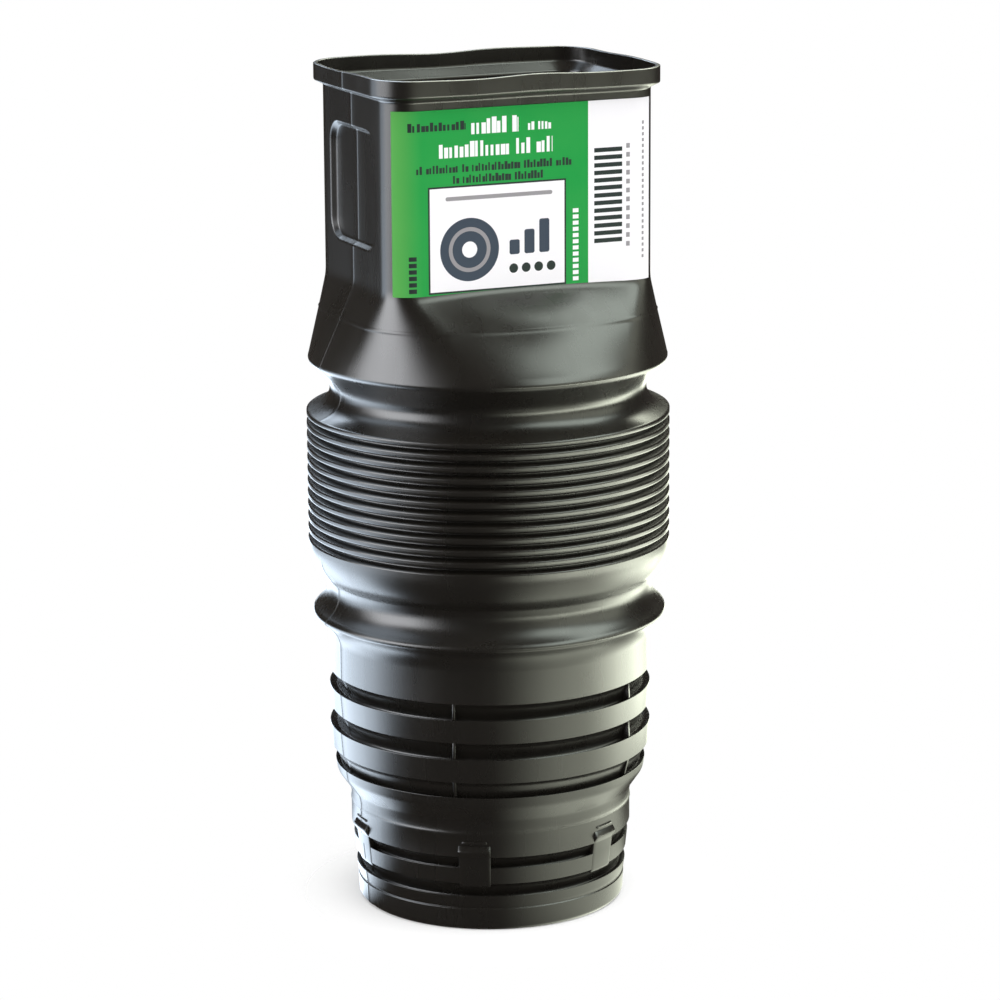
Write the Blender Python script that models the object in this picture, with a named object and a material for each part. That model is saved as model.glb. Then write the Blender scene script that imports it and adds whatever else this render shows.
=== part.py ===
"""Flexible downspout adapter.

A blow-moulded tube, open at both ends. From the foot up it has a spigot with six
catches, three barbs, a plain collar, a bulge, a folded bellows, a waist and a flare
that turns the round tube into a rectangular socket with a rim. A printed label wraps
round the front of the socket. Metres, +Z up, the foot stands on Z = 0 and the long
side of the socket lies along X.
"""

import math

import bmesh
import bpy
from mathutils import Vector

# Shell
WALL = 0.0014
SEAT_GAP = 0.0003
SHARP_ANGLE = math.radians(35)

# Spigot: the end that goes into the drain pipe
FOOT_RADIUS = 0.0366
FOOT_EDGE = 0.0010
SPIGOT_RADIUS = 0.0397
SPIGOT_HEIGHT = 0.0326
LIP_RADIUS = 0.0377
LIP_HEIGHT = 0.0045
LIP_TAPER = 0.0001
BEAD_RADIUS = 0.0384
BEAD_HEIGHT = 0.0096
BEAD_STEP = 0.0006
GROOVE_HEIGHT = 0.0190
GROOVE_WIDTH = 0.0022
GROOVE_DEPTH = 0.0016
GROOVE_EDGE = 0.0006

# Catches round the spigot
CATCH_COUNT = 6
CATCH_RADIUS = 0.0407
CATCH_TOP = 0.0240
CATCH_LENGTH = 0.0120
CATCH_ANGLE = math.radians(14)
CATCH_EDGE = 0.0006

# Barbs: three rings that hold a larger pipe
BARB_COUNT = 3
BARB_PITCH = 0.0112
BARB_RADIUS = 0.0454
FIRST_BARB_RADIUS = 0.0440
BARB_VALLEY_RADIUS = 0.0433
BARB_FACE = 0.0044
BARB_EDGE = 0.0006
BARB_LEDGE = 0.0010

# Collar and bulge
COLLAR_RADIUS = 0.04515
COLLAR_HEIGHT = 0.0092
BULGE_RADIUS = 0.0497
BULGE_SLOPE = 0.0076
BULGE_EDGE = 0.0006
THROAT_RADIUS = 0.0455
THROAT_HEIGHT = 0.0020

# Bellows
FOLD_COUNT = 12
FOLD_PITCH = 0.0033
FOLD_RADIUS = 0.0510
FOLD_DEPTH = 0.0023
CREST_WIDTH = 0.0010
LOWER_SHOULDER = 0.0103
SHOULDER_FULLNESS = 0.55

# Waist and flare
WAIST_RADIUS = 0.0442
WAIST_SHOULDER = 0.0076
WAIST_UNDERCUT = 0.0086
WAIST_TIGHTNESS = 0.35
RIDGE_RADIUS = 0.0503
RIDGE_EDGE = 0.0006
RIDGE_WALL = 0.0016
FLARE_HEIGHT = 0.0224
FLARE_BEND = 0.0015

# Rectangular socket, outer sizes
SOCKET_SIDE_X = 0.0796
SOCKET_SIDE_Y = 0.0550
SOCKET_CORNER = 0.0077
SOCKET_HEIGHT = 0.0514
RIM_OVERHANG = 0.0026
RIM_SLOPE = 0.0026
RIM_HEIGHT = 0.0048
RIM_EDGE = 0.0003

# Recess in each short side of the socket
RECESS_WIDTH = 0.0326
RECESS_HEIGHT = 0.0330
RECESS_CORNER = 0.0060
RECESS_DEPTH = 0.0016
RECESS_DRAFT = 0.0013
RECESS_BELOW_SOCKET_TOP = 0.0076

# Label
LABEL_WIDTH = 0.0762
LABEL_THICKNESS = 0.0003
LABEL_SHIFT = -0.0009
LABEL_BELOW_SOCKET_TOP = 0.0011
LABEL_ABOVE_SOCKET_BASE = 0.0003

# Points on each quarter of an outline: side points and corner points
SHORT_SIDE_POINTS = 1
CORNER_POINTS = 5
LONG_SIDE_POINTS = 2

# Heights that follow from the sizes above
BARB_BASE = SPIGOT_HEIGHT + BARB_LEDGE
COLLAR_BASE = BARB_BASE + BARB_COUNT * BARB_PITCH
BULGE_BASE = COLLAR_BASE + COLLAR_HEIGHT
BULGE_CREST = BULGE_BASE + BULGE_SLOPE
THROAT_BASE = BULGE_CREST + BULGE_SLOPE
FOLD_BASE = THROAT_BASE + THROAT_HEIGHT + LOWER_SHOULDER
FOLD_TOP = FOLD_BASE + (FOLD_COUNT - 1) * FOLD_PITCH
WAIST = FOLD_TOP + WAIST_SHOULDER
RIDGE = WAIST + WAIST_UNDERCUT
SOCKET_BASE = RIDGE + FLARE_HEIGHT
SOCKET_TOP = SOCKET_BASE + SOCKET_HEIGHT
RIM_BASE = SOCKET_TOP + RIM_SLOPE
RIM_TOP = RIM_BASE + RIM_HEIGHT


def clear_scene():
    for item in list(bpy.data.objects):
        bpy.data.objects.remove(item, do_unlink=True)


def plastic(name, colour, roughness):
    material = bpy.data.materials.new(name)
    material.use_nodes = True
    shader = material.node_tree.nodes["Principled BSDF"]
    shader.inputs["Base Color"].default_value = (*colour, 1.0)
    shader.inputs["Roughness"].default_value = roughness
    shader.inputs["Metallic"].default_value = 0.0
    material.diffuse_color = (*colour, 1.0)
    return material


def bend(start, pull, end, steps):
    """Points after start on the curve that leaves start towards pull and arrives at end from it."""
    points = []
    for step in range(1, steps + 1):
        t = step / steps
        a, b, c = (1 - t) ** 2, 2 * t * (1 - t), t * t
        height = a * start[0] + b * pull[0] + c * end[0]
        radius = a * start[1] + b * pull[1] + c * end[1]
        points.append((height, radius))
    return points


def spigot_profile():
    """(height, radius) up the outside of the spigot."""
    groove_top = GROOVE_HEIGHT + GROOVE_WIDTH
    groove_radius = SPIGOT_RADIUS - GROOVE_DEPTH
    return [
        (0.0, FOOT_RADIUS),
        (FOOT_EDGE, LIP_RADIUS - LIP_TAPER),
        (LIP_HEIGHT, LIP_RADIUS),
        (LIP_HEIGHT + BEAD_STEP, LIP_RADIUS - BEAD_STEP),
        (BEAD_HEIGHT - BEAD_STEP, BEAD_RADIUS),
        (BEAD_HEIGHT, BEAD_RADIUS),
        (BEAD_HEIGHT + BEAD_STEP, BEAD_RADIUS - BEAD_STEP),
        (GROOVE_HEIGHT - GROOVE_EDGE, groove_radius + GROOVE_EDGE),
        (GROOVE_HEIGHT, groove_radius),
        (groove_top - GROOVE_EDGE, groove_radius),
        (groove_top, SPIGOT_RADIUS),
        (SPIGOT_HEIGHT, SPIGOT_RADIUS),
    ]


def barb_profile():
    """(height, radius) up the outside of the barbs, each a long taper below a steep face."""
    points = []
    for barb in range(BARB_COUNT):
        base = BARB_BASE + barb * BARB_PITCH
        top = base + BARB_PITCH
        peak = top - BARB_FACE
        radius = BARB_RADIUS if barb else FIRST_BARB_RADIUS
        valley = BARB_VALLEY_RADIUS if barb else SPIGOT_RADIUS + BARB_EDGE
        points += [
            (base + BARB_EDGE / 2, valley),
            (peak - BARB_EDGE * 2, radius - BARB_EDGE / 2),
            (peak, radius),
            (top - BARB_EDGE, radius - BARB_EDGE),
            (top, min(radius - BARB_EDGE * 2, BARB_VALLEY_RADIUS + BARB_EDGE)),
        ]
    return points


def collar_profile():
    """(height, radius) up the collar, the bulge and the throat above it."""
    crest = (BULGE_CREST, BULGE_RADIUS)
    below = (BULGE_CREST - BULGE_EDGE, BULGE_RADIUS - BULGE_EDGE / 3)
    above = (BULGE_CREST + BULGE_EDGE, BULGE_RADIUS - BULGE_EDGE / 3)
    foot = (BULGE_BASE, COLLAR_RADIUS)
    throat = (THROAT_BASE, THROAT_RADIUS)
    low_pull = (BULGE_BASE + BULGE_SLOPE / 2, COLLAR_RADIUS)
    high_pull = (THROAT_BASE - BULGE_SLOPE / 2, THROAT_RADIUS)
    return [
        (COLLAR_BASE + BARB_EDGE, COLLAR_RADIUS),
        foot,
        *bend(foot, low_pull, below, 3),
        crest,
        above,
        *bend(above, high_pull, throat, 3),
        (THROAT_BASE + THROAT_HEIGHT, THROAT_RADIUS),
    ]


def shoulder_profile():
    """(height, radius) up the rounded shoulder from the throat to the first fold."""
    start = (THROAT_BASE + THROAT_HEIGHT, THROAT_RADIUS)
    crest = (FOLD_BASE - CREST_WIDTH, FOLD_RADIUS)
    pull = (FOLD_BASE - LOWER_SHOULDER * SHOULDER_FULLNESS, FOLD_RADIUS)
    return bend(start, pull, crest, 5)


def bellows_profile():
    """(height, radius) up the folds: a flat crest on each and a sharp valley between them."""
    points = []
    for fold in range(FOLD_COUNT):
        middle = FOLD_BASE + fold * FOLD_PITCH
        if fold:
            points.append((middle - FOLD_PITCH / 2, FOLD_RADIUS - FOLD_DEPTH))
            points.append((middle - CREST_WIDTH / 2, FOLD_RADIUS))
        points.append((middle + CREST_WIDTH / 2, FOLD_RADIUS))
    return points


def waist_profile():
    """(height, radius) from the last fold in to the waist and out to the ridge."""
    start = (FOLD_TOP + CREST_WIDTH / 2, FOLD_RADIUS)
    waist = (WAIST, WAIST_RADIUS)
    ridge = (RIDGE - RIDGE_EDGE, RIDGE_RADIUS - RIDGE_EDGE / 2)
    in_pull = (FOLD_TOP + WAIST_SHOULDER * WAIST_TIGHTNESS, WAIST_RADIUS)
    out_pull = (WAIST + WAIST_UNDERCUT * WAIST_TIGHTNESS, WAIST_RADIUS)
    return [
        *bend(start, in_pull, waist, 5),
        *bend(waist, out_pull, ridge, 4),
        (RIDGE, RIDGE_RADIUS),
    ]


def bore_profile():
    """(height, radius) up the inside of the round part, one wall inside its skin."""
    foot = FOOT_RADIUS - WALL
    spigot = SPIGOT_RADIUS - WALL
    barbs = BARB_VALLEY_RADIUS - WALL
    crest = FOLD_RADIUS - WALL
    waist = WAIST_RADIUS - WALL
    groove_top = GROOVE_HEIGHT + GROOVE_WIDTH
    groove = spigot - GROOVE_DEPTH
    points = [
        (-WALL, foot),
        (LIP_HEIGHT, foot),
        (GROOVE_HEIGHT - WALL, groove),
        (groove_top, groove),
        (groove_top + WALL, spigot),
        (BARB_BASE, spigot),
        (BARB_BASE + BARB_PITCH - BARB_FACE, min(barbs, FIRST_BARB_RADIUS - WALL)),
        (COLLAR_BASE, barbs),
        (COLLAR_BASE + WALL, COLLAR_RADIUS - WALL),
    ]
    above_collar = collar_profile()[1:] + shoulder_profile()
    points += [(height, radius - WALL) for height, radius in above_collar]
    for fold in range(FOLD_COUNT):
        middle = FOLD_BASE + fold * FOLD_PITCH
        if fold:
            points.append((middle - FOLD_PITCH / 2, crest - FOLD_DEPTH))
        points.append((middle, crest))
    start = (FOLD_TOP, crest)
    pull = (FOLD_TOP + WAIST_SHOULDER * WAIST_TIGHTNESS, waist)
    points += bend(start, pull, (WAIST, waist), 3)
    points += [(WAIST + WALL, waist), (RIDGE - RIDGE_EDGE, RIDGE_RADIUS - RIDGE_WALL)]
    return points


def circle(height, radius):
    """A ring of points, as many as a socket outline has and in the same order."""
    count = 4 * (SHORT_SIDE_POINTS + CORNER_POINTS + LONG_SIDE_POINTS)
    points = []
    for index in range(count):
        angle = (index + 0.5) * math.tau / count
        points.append(Vector((radius * math.cos(angle), radius * math.sin(angle), height)))
    return points


def rounded_quarter(half_x, half_y, corner):
    """Points on the quarter of a rounded rectangle from +X round to +Y."""
    flat_x = half_x - corner
    flat_y = half_y - corner
    points = []
    for index in range(SHORT_SIDE_POINTS):
        points.append((half_x, flat_y * (2 * index + 1) / (2 * SHORT_SIDE_POINTS + 1)))
    for index in range(CORNER_POINTS):
        angle = index * math.pi / 2 / (CORNER_POINTS - 1)
        points.append((flat_x + corner * math.cos(angle), flat_y + corner * math.sin(angle)))
    for index in reversed(range(LONG_SIDE_POINTS)):
        points.append((flat_x * (2 * index + 1) / (2 * LONG_SIDE_POINTS + 1), half_y))
    return points


def socket_outline(height, grow):
    """The socket's rounded rectangle at a height, grown outwards all round."""
    quarter = rounded_quarter(
        SOCKET_SIDE_X / 2 + grow, SOCKET_SIDE_Y / 2 + grow, SOCKET_CORNER + grow
    )
    half = quarter + [(-x, y) for x, y in reversed(quarter)]
    whole = half + [(x, -y) for x, y in reversed(half)]
    return [Vector((x, y, height)) for x, y in whole]


def between(low, high, share):
    """The outline part of the way from a low one to a high one."""
    return [a.lerp(b, share) for a, b in zip(low, high)]


def loft(name, outlines):
    """A closed solid through outlines of equal count, with a flat cap on each end."""
    shape = bmesh.new()
    rings = [[shape.verts.new(point) for point in outline] for outline in outlines]
    count = len(rings[0])
    for low, high in zip(rings, rings[1:]):
        for index in range(count):
            after = (index + 1) % count
            shape.faces.new((low[index], low[after], high[after], high[index]))
    shape.faces.new(list(reversed(rings[0])))
    shape.faces.new(rings[-1])
    bmesh.ops.recalc_face_normals(shape, faces=shape.faces)
    mesh = bpy.data.meshes.new(name)
    shape.to_mesh(mesh)
    shape.free()
    solid = bpy.data.objects.new(name, mesh)
    bpy.context.scene.collection.objects.link(solid)
    return solid


def helper(solid):
    """Marks a solid as a tool for cutting or joining, left out of the finished part."""
    solid.hide_render = True
    solid.display_type = "WIRE"
    return solid


def combine(solid, tool, operation):
    step = solid.modifiers.new(tool.name, "BOOLEAN")
    step.operation = operation
    step.solver = "EXACT"
    step.object = tool


def recess_tool(name, side, grow):
    """A tapered block across one short side, from outside it to the floor of the recess."""
    outer_x = SOCKET_SIDE_X / 2 - grow
    floor_x = outer_x - RECESS_DEPTH
    top = SOCKET_TOP - RECESS_BELOW_SOCKET_TOP
    middle = top - RECESS_HEIGHT / 2
    slope = RECESS_DRAFT / RECESS_DEPTH
    outlines = []
    for x in (floor_x, outer_x + WALL):
        wider = (x - outer_x) * slope + grow
        half_y = RECESS_WIDTH / 2 + wider
        half_z = RECESS_HEIGHT / 2 + wider
        quarter = rounded_quarter(half_y, half_z, RECESS_CORNER + wider)
        half = quarter + [(-y, z) for y, z in reversed(quarter)]
        whole = half + [(y, -z) for y, z in reversed(half)]
        outlines.append([Vector((side * x, y, middle + z)) for y, z in whole])
    return helper(loft(name, outlines))


def catch_tool(number):
    """One catch: a wedge that grows up to a square ledge."""
    middle = number * math.tau / CATCH_COUNT
    ramp = CATCH_TOP - CATCH_LENGTH / 2
    section = [
        (CATCH_TOP - CATCH_LENGTH, BEAD_RADIUS),
        (ramp, CATCH_RADIUS - CATCH_EDGE / 2),
        (CATCH_TOP - CATCH_EDGE, CATCH_RADIUS),
        (CATCH_TOP, CATCH_RADIUS - CATCH_EDGE),
        (CATCH_TOP, FOOT_RADIUS),
        (CATCH_TOP - CATCH_LENGTH, FOOT_RADIUS),
    ]
    outlines = []
    for turn in (-0.5, 0.0, 0.5):
        angle = middle + turn * CATCH_ANGLE
        across = Vector((math.cos(angle), math.sin(angle), 0))
        outlines.append([across * radius + Vector((0, 0, height)) for height, radius in section])
    return helper(loft(f"catch_tool_{number + 1}", outlines))


def adapter_body():
    round_part = spigot_profile() + barb_profile() + collar_profile()
    round_part += shoulder_profile() + bellows_profile() + waist_profile()
    skin = [circle(*row) for row in round_part]
    flare_foot = circle(RIDGE + RIDGE_EDGE, RIDGE_RADIUS - RIDGE_EDGE / 2)
    flare_top = socket_outline(SOCKET_BASE, 0)
    skin += [
        flare_foot,
        between(flare_foot, flare_top, 0.5),
        between(flare_foot, flare_top, 1 - FLARE_BEND / FLARE_HEIGHT),
        flare_top,
        socket_outline(SOCKET_BASE + FLARE_BEND, 0),
        socket_outline(SOCKET_TOP, 0),
        socket_outline(RIM_BASE, RIM_OVERHANG),
        socket_outline(RIM_TOP - RIM_EDGE, RIM_OVERHANG),
        socket_outline(RIM_TOP, RIM_OVERHANG - RIM_EDGE),
    ]
    body = loft("adapter_body", skin)

    bore = [circle(*row) for row in bore_profile()]
    bore += [
        socket_outline(SOCKET_BASE - WALL / 2, -WALL),
        socket_outline(SOCKET_TOP + WALL / 3, -WALL),
        socket_outline(RIM_BASE + WALL / 3, RIM_OVERHANG - WALL),
        socket_outline(RIM_TOP + WALL, RIM_OVERHANG - WALL),
    ]
    cavity = helper(loft("bore_tool", bore))

    for side, word in ((1, "right"), (-1, "left")):
        combine(cavity, recess_tool(f"{word}_swell_tool", side, WALL), "DIFFERENCE")
        combine(body, recess_tool(f"{word}_recess_tool", side, 0.0), "DIFFERENCE")
    for number in range(CATCH_COUNT):
        combine(body, catch_tool(number), "UNION")
    combine(body, cavity, "DIFFERENCE")

    body.data.materials.append(plastic("black_plastic", (0.012, 0.013, 0.014), 0.28))
    body.data.shade_smooth()
    body.data.set_sharp_from_angle(angle=SHARP_ANGLE)
    return body


def label_columns():
    """(x, y, outward x, outward y) along the front of the socket, under the label's width."""
    flat = SOCKET_SIDE_X / 2 - SOCKET_CORNER
    left_turn = (LABEL_WIDTH / 2 - LABEL_SHIFT - flat) / SOCKET_CORNER
    right_turn = (LABEL_WIDTH / 2 + LABEL_SHIFT - flat) / SOCKET_CORNER
    steps = CORNER_POINTS + 1
    turns = [-left_turn * (1 - step / steps) for step in range(steps + 1)]
    turns += [right_turn * step / steps for step in range(steps + 1)]
    columns = []
    for index, turn in enumerate(turns):
        centre_x = -flat if index <= steps else flat
        outward = (math.sin(turn), -math.cos(turn))
        columns.append(
            (
                centre_x + SOCKET_CORNER * outward[0],
                -SOCKET_SIDE_Y / 2 + SOCKET_CORNER + SOCKET_CORNER * outward[1],
                *outward,
            )
        )
    return columns


def label():
    top = SOCKET_TOP - LABEL_BELOW_SOCKET_TOP
    bottom = SOCKET_BASE + LABEL_ABOVE_SOCKET_BASE
    outlines = []
    for x, y, out_x, out_y in label_columns():
        inner = Vector((x + out_x * SEAT_GAP, y + out_y * SEAT_GAP, 0))
        outer = inner + Vector((out_x, out_y, 0)) * LABEL_THICKNESS
        low = Vector((0, 0, bottom))
        high = Vector((0, 0, top))
        outlines.append([inner + low, outer + low, outer + high, inner + high])
    sticker = loft("label", outlines)
    sticker.data.materials.append(plastic("label_print", (0.05, 0.50, 0.20), 0.35))
    sticker.data.shade_smooth()
    sticker.data.set_sharp_from_angle(angle=SHARP_ANGLE)
    return sticker


clear_scene()
adapter_body()
label()
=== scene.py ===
# %% [markdown]
# A folding downspout adapter, black and blow-moulded. Water drops in at a rectangular
# socket, runs through a flare, a waist and a folded bellows, past a bulge and three barbs,
# and leaves by a round spigot with six catches. A printed film wraps round the socket.
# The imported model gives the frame: everything here is in metres and stays inside it.

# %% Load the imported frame
import math

import bmesh
import bpy
from mathutils import Matrix, Vector


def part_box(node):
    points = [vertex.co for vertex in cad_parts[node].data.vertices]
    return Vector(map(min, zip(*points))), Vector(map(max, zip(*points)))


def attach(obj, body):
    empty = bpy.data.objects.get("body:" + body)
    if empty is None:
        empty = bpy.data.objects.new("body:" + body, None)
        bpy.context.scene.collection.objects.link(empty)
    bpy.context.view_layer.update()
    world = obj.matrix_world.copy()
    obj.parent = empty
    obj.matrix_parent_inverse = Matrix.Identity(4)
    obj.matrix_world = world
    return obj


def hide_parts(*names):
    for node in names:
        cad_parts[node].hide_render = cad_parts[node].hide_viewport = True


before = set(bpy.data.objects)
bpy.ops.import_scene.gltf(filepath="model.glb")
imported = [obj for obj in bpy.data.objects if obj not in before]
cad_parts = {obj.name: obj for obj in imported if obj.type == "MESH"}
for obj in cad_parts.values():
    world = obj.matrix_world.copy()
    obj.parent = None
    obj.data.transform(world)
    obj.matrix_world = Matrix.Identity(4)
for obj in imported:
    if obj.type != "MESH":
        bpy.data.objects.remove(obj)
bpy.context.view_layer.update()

BODY_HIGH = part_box("adapter_body")[1]

# %% [markdown]
# The sizes of the tube come first. They are the driving dimensions of the real part, from
# the foot to the rim, and the heights of the stages follow from them by adding up. Named
# sizes are worth the typing: a barb that is a millimetre too low can be moved in one place.

# %% Sizes of the round part
WALL = 0.0014
FOOT_RADIUS, FOOT_EDGE = 0.0366, 0.0010
SPIGOT_RADIUS, SPIGOT_HEIGHT = 0.0397, 0.0326
LINE_RADIUS, LINE_LOW, LINE_HIGH, LINE_DEPTH = 0.0380, 0.0062, 0.0074, 0.0003
BEAD_RADIUS, BEAD_LIP, BEAD_TOP = 0.0384, 0.0102, 0.0138
BAND_FOOT, BAND_RADIUS, BAND_LIP, BAND_TOP = 0.0386, 0.0391, 0.0186, 0.0218
GROOVE_DEPTH, HOLLOW_RADIUS, HOLLOW_DIP = 0.0040, 0.0405, 0.75
BARB_COUNT, BARB_PITCH, BARB_LEDGE, BARB_FACE = 3, 0.0112, 0.0010, 0.0044
BARB_RADIUS, FIRST_BARB_RADIUS, BARB_FOOT = 0.0454, 0.0440, 0.0448
FIRST_FACE, FIRST_SLOPE = (0.0376, 0.0436), (0.0325, 0.0401)
COLLAR_RADIUS, COLLAR_HEIGHT = 0.04515, 0.0092
BULGE_RADIUS, BULGE_SLOPE, BULGE_EDGE = 0.0497, 0.0076, 0.0006
THROAT_RADIUS, THROAT_HEIGHT = 0.0455, 0.0020
FOLD_COUNT, FOLD_PITCH, FOLD_DEPTH = 12, 0.0033, 0.0023
FOLD_RADIUS = BODY_HIGH[0]
CREST_WIDTH, LOWER_SHOULDER, SHOULDER_FULLNESS = 0.0010, 0.0109, 0.55
WAIST_RADIUS, WAIST_SHOULDER, WAIST_UNDERCUT, WAIST_TIGHTNESS = 0.0442, 0.0070, 0.0086, 0.35
RIDGE_RADIUS, RIDGE_EDGE, RIDGE_WALL, FLARE_HEIGHT = 0.0503, 0.0006, 0.0016, 0.0224

# %% Sizes of the rectangular socket
SOCKET_SIDE_X, SOCKET_SIDE_Y, SOCKET_CORNER, SOCKET_HEIGHT = 0.0796, 0.0550, 0.0077, 0.0514
RIM_OVERHANG, RIM_SLOPE, RIM_UNDER, RIM_HEIGHT, RIM_EDGE = 0.0026, 0.0026, 0.0013, 0.0048, 0.0003
RECESS_WIDTH, RECESS_HEIGHT, RECESS_CORNER = 0.0326, 0.0330, 0.0060
RECESS_DEPTH, RECESS_DRAFT, RECESS_BELOW_SOCKET_TOP = 0.0016, 0.0013, 0.0076

# %% Heights that follow
BARB_BASE = SPIGOT_HEIGHT + BARB_LEDGE
COLLAR_BASE = BARB_BASE + BARB_COUNT * BARB_PITCH
BULGE_BASE = COLLAR_BASE + COLLAR_HEIGHT
BULGE_CREST = BULGE_BASE + BULGE_SLOPE
THROAT_BASE = BULGE_CREST + BULGE_SLOPE
FOLD_BASE = THROAT_BASE + THROAT_HEIGHT + LOWER_SHOULDER
FOLD_TOP = FOLD_BASE + (FOLD_COUNT - 1) * FOLD_PITCH
WAIST = FOLD_TOP + WAIST_SHOULDER
RIDGE = WAIST + WAIST_UNDERCUT
SOCKET_BASE = RIDGE + FLARE_HEIGHT
SOCKET_TOP = SOCKET_BASE + SOCKET_HEIGHT
RIM_BASE = SOCKET_TOP + RIM_SLOPE
RIM_TOP = RIM_BASE + RIM_HEIGHT
RECESS_MIDDLE = SOCKET_TOP - RECESS_BELOW_SOCKET_TOP - RECESS_HEIGHT / 2
print("rim at", round(RIM_TOP * 1000, 1), "mm, frame says", round(BODY_HIGH[2] * 1000, 1))

# %% [markdown]
# A moulded edge is never knife sharp. The outline of the tube is written as corner points,
# and each corner carries how far its rounding reaches along both sides. The helper swaps
# every corner for a short curve, and puts one more point beside it on each flat, because
# smooth shading would otherwise smear the bend across the whole flat.

# %% Rounding the corners of an outline
ROUND_STEPS, HOLD = 3, 1.5
LONGEST_SHARE, SHORTEST_REACH = 0.4, 0.00002


def shares(count):
    """Even steps from the first one after 0 up to 1."""
    return [step / count for step in range(1, count + 1)]


def curve(start, pull, end, steps):
    """Points after start on the curve that leaves start towards pull and reaches end from it."""
    return [start.lerp(pull, t).lerp(pull.lerp(end, t), t) for t in shares(steps)]


def soften(corners):
    """Rounds each inner corner of a line of (height, radius, reach)."""
    places = [Vector(corner[:2]) for corner in corners]
    line = [places[0]]
    for before, here, after, corner in zip(places, places[1:], places[2:], corners[1:]):
        back, ahead = before - here, after - here
        room = LONGEST_SHARE * min(back.length, ahead.length) / HOLD
        reach = min(corner[2], room)
        if reach < SHORTEST_REACH:
            line.append(here)
            continue
        back.normalize()
        ahead.normalize()
        start, end = here + back * reach, here + ahead * reach
        line += [here + back * reach * HOLD, start]
        line += curve(start, here, end, ROUND_STEPS)
        line.append(here + ahead * reach * HOLD)
    return line + [places[-1]]


# %% [markdown]
# The outline of the skin is a revolved profile, so it is a list of heights and radii. It
# is split the way a toolmaker would talk about it: spigot, barbs, collar and bulge,
# shoulder, and waist. Each barb is a slow taper up to a sharp lip. Behind the lip the wall
# dips into a deep hollow, and then leans out again to the edge of the next stage. The
# bellows between shoulder and waist is a plain drum here, because its folds repeat.

# %% Outline of the spigot and the barbs, with three lengths of rounding
FINE, SOFT, BROAD = 0.0002, 0.0004, 0.0010
HOLLOW_STEPS, UNDER_EDGE = 9, 0.0003


def hollow(lip_height, lip_radius, top_height, inner_radius, edge_radius):
    """Corners from a sharp lip, down behind it and out along a wall to the edge above."""
    lip = Vector((lip_height, lip_radius))
    pull = Vector((lip_height - HOLLOW_DIP * (top_height - lip_height), inner_radius))
    points = curve(lip, pull, Vector((top_height, edge_radius - UNDER_EDGE)), HOLLOW_STEPS)
    return [(lip_height, lip_radius, FINE)] + [(*point, 0) for point in points]


def spigot_corners():
    corners = [
        (0.0, FOOT_RADIUS, 0),
        (FOOT_EDGE, LINE_RADIUS - LINE_DEPTH, SOFT),
        (LINE_LOW, LINE_RADIUS, FINE),
        (LINE_LOW + LINE_DEPTH, LINE_RADIUS - LINE_DEPTH, FINE),
        (LINE_HIGH, LINE_RADIUS, FINE),
    ]
    corners += hollow(BEAD_LIP, BEAD_RADIUS, BEAD_TOP, BEAD_RADIUS - GROOVE_DEPTH, BAND_FOOT)
    corners.append((BEAD_TOP, BAND_FOOT, FINE))
    corners += hollow(BAND_LIP, BAND_RADIUS, BAND_TOP, BAND_RADIUS - GROOVE_DEPTH, SPIGOT_RADIUS)
    return corners + [(BAND_TOP, SPIGOT_RADIUS, FINE)]


def barb_corners():
    corners = [
        (FIRST_SLOPE[0] - BROAD * 2, SPIGOT_RADIUS, BROAD),
        (*FIRST_SLOPE, BROAD),
        (*FIRST_FACE, BROAD),
    ]
    for barb in range(BARB_COUNT):
        top = BARB_BASE + (barb + 1) * BARB_PITCH
        radius = BARB_RADIUS if barb else FIRST_BARB_RADIUS
        edge = COLLAR_RADIUS if barb == BARB_COUNT - 1 else BARB_FOOT
        corners += hollow(top - BARB_FACE, radius, top, HOLLOW_RADIUS, edge)
        corners.append((top, edge, FINE))
    return corners


print("spigot corners", len(spigot_corners()), "barb corners", len(barb_corners()))

# %% Outline of the collar, the bulge and the shoulder
BULGE_STEPS = 9


def bulge_line(inset):
    """From the collar over the bulge to the throat, moved in by an inset."""
    foot = Vector((BULGE_BASE, COLLAR_RADIUS - inset))
    crest = Vector((BULGE_CREST, BULGE_RADIUS - inset))
    below = crest - Vector((BULGE_EDGE, BULGE_EDGE / 3))
    above = crest - Vector((-BULGE_EDGE, BULGE_EDGE / 3))
    throat = Vector((THROAT_BASE, THROAT_RADIUS - inset))
    low_pull = foot + Vector((BULGE_SLOPE / 2, 0))
    high_pull = throat - Vector((BULGE_SLOPE / 2, 0))
    line = [foot] + curve(foot, low_pull, below, BULGE_STEPS)
    line += curve(below, crest, above, ROUND_STEPS)
    return line + curve(above, high_pull, throat, BULGE_STEPS)


def shoulder_line(inset):
    """From the throat out to the drum of the bellows."""
    start = Vector((THROAT_BASE + THROAT_HEIGHT, THROAT_RADIUS - inset))
    end = Vector((FOLD_BASE - CREST_WIDTH, FOLD_RADIUS - inset))
    pull = Vector((FOLD_BASE - LOWER_SHOULDER * SHOULDER_FULLNESS, FOLD_RADIUS - inset))
    return [start] + curve(start, pull, end, BULGE_STEPS)


# %% Outline of the drum, the waist and the ridge
def drum_line(inset, rows_a_fold):
    """Close, even rows between the first crest and the last, ready for the folds."""
    count = (FOLD_COUNT - 1) * rows_a_fold
    step = FOLD_PITCH / rows_a_fold
    return [Vector((FOLD_BASE + step * row, FOLD_RADIUS - inset)) for row in range(count + 1)]


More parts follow.
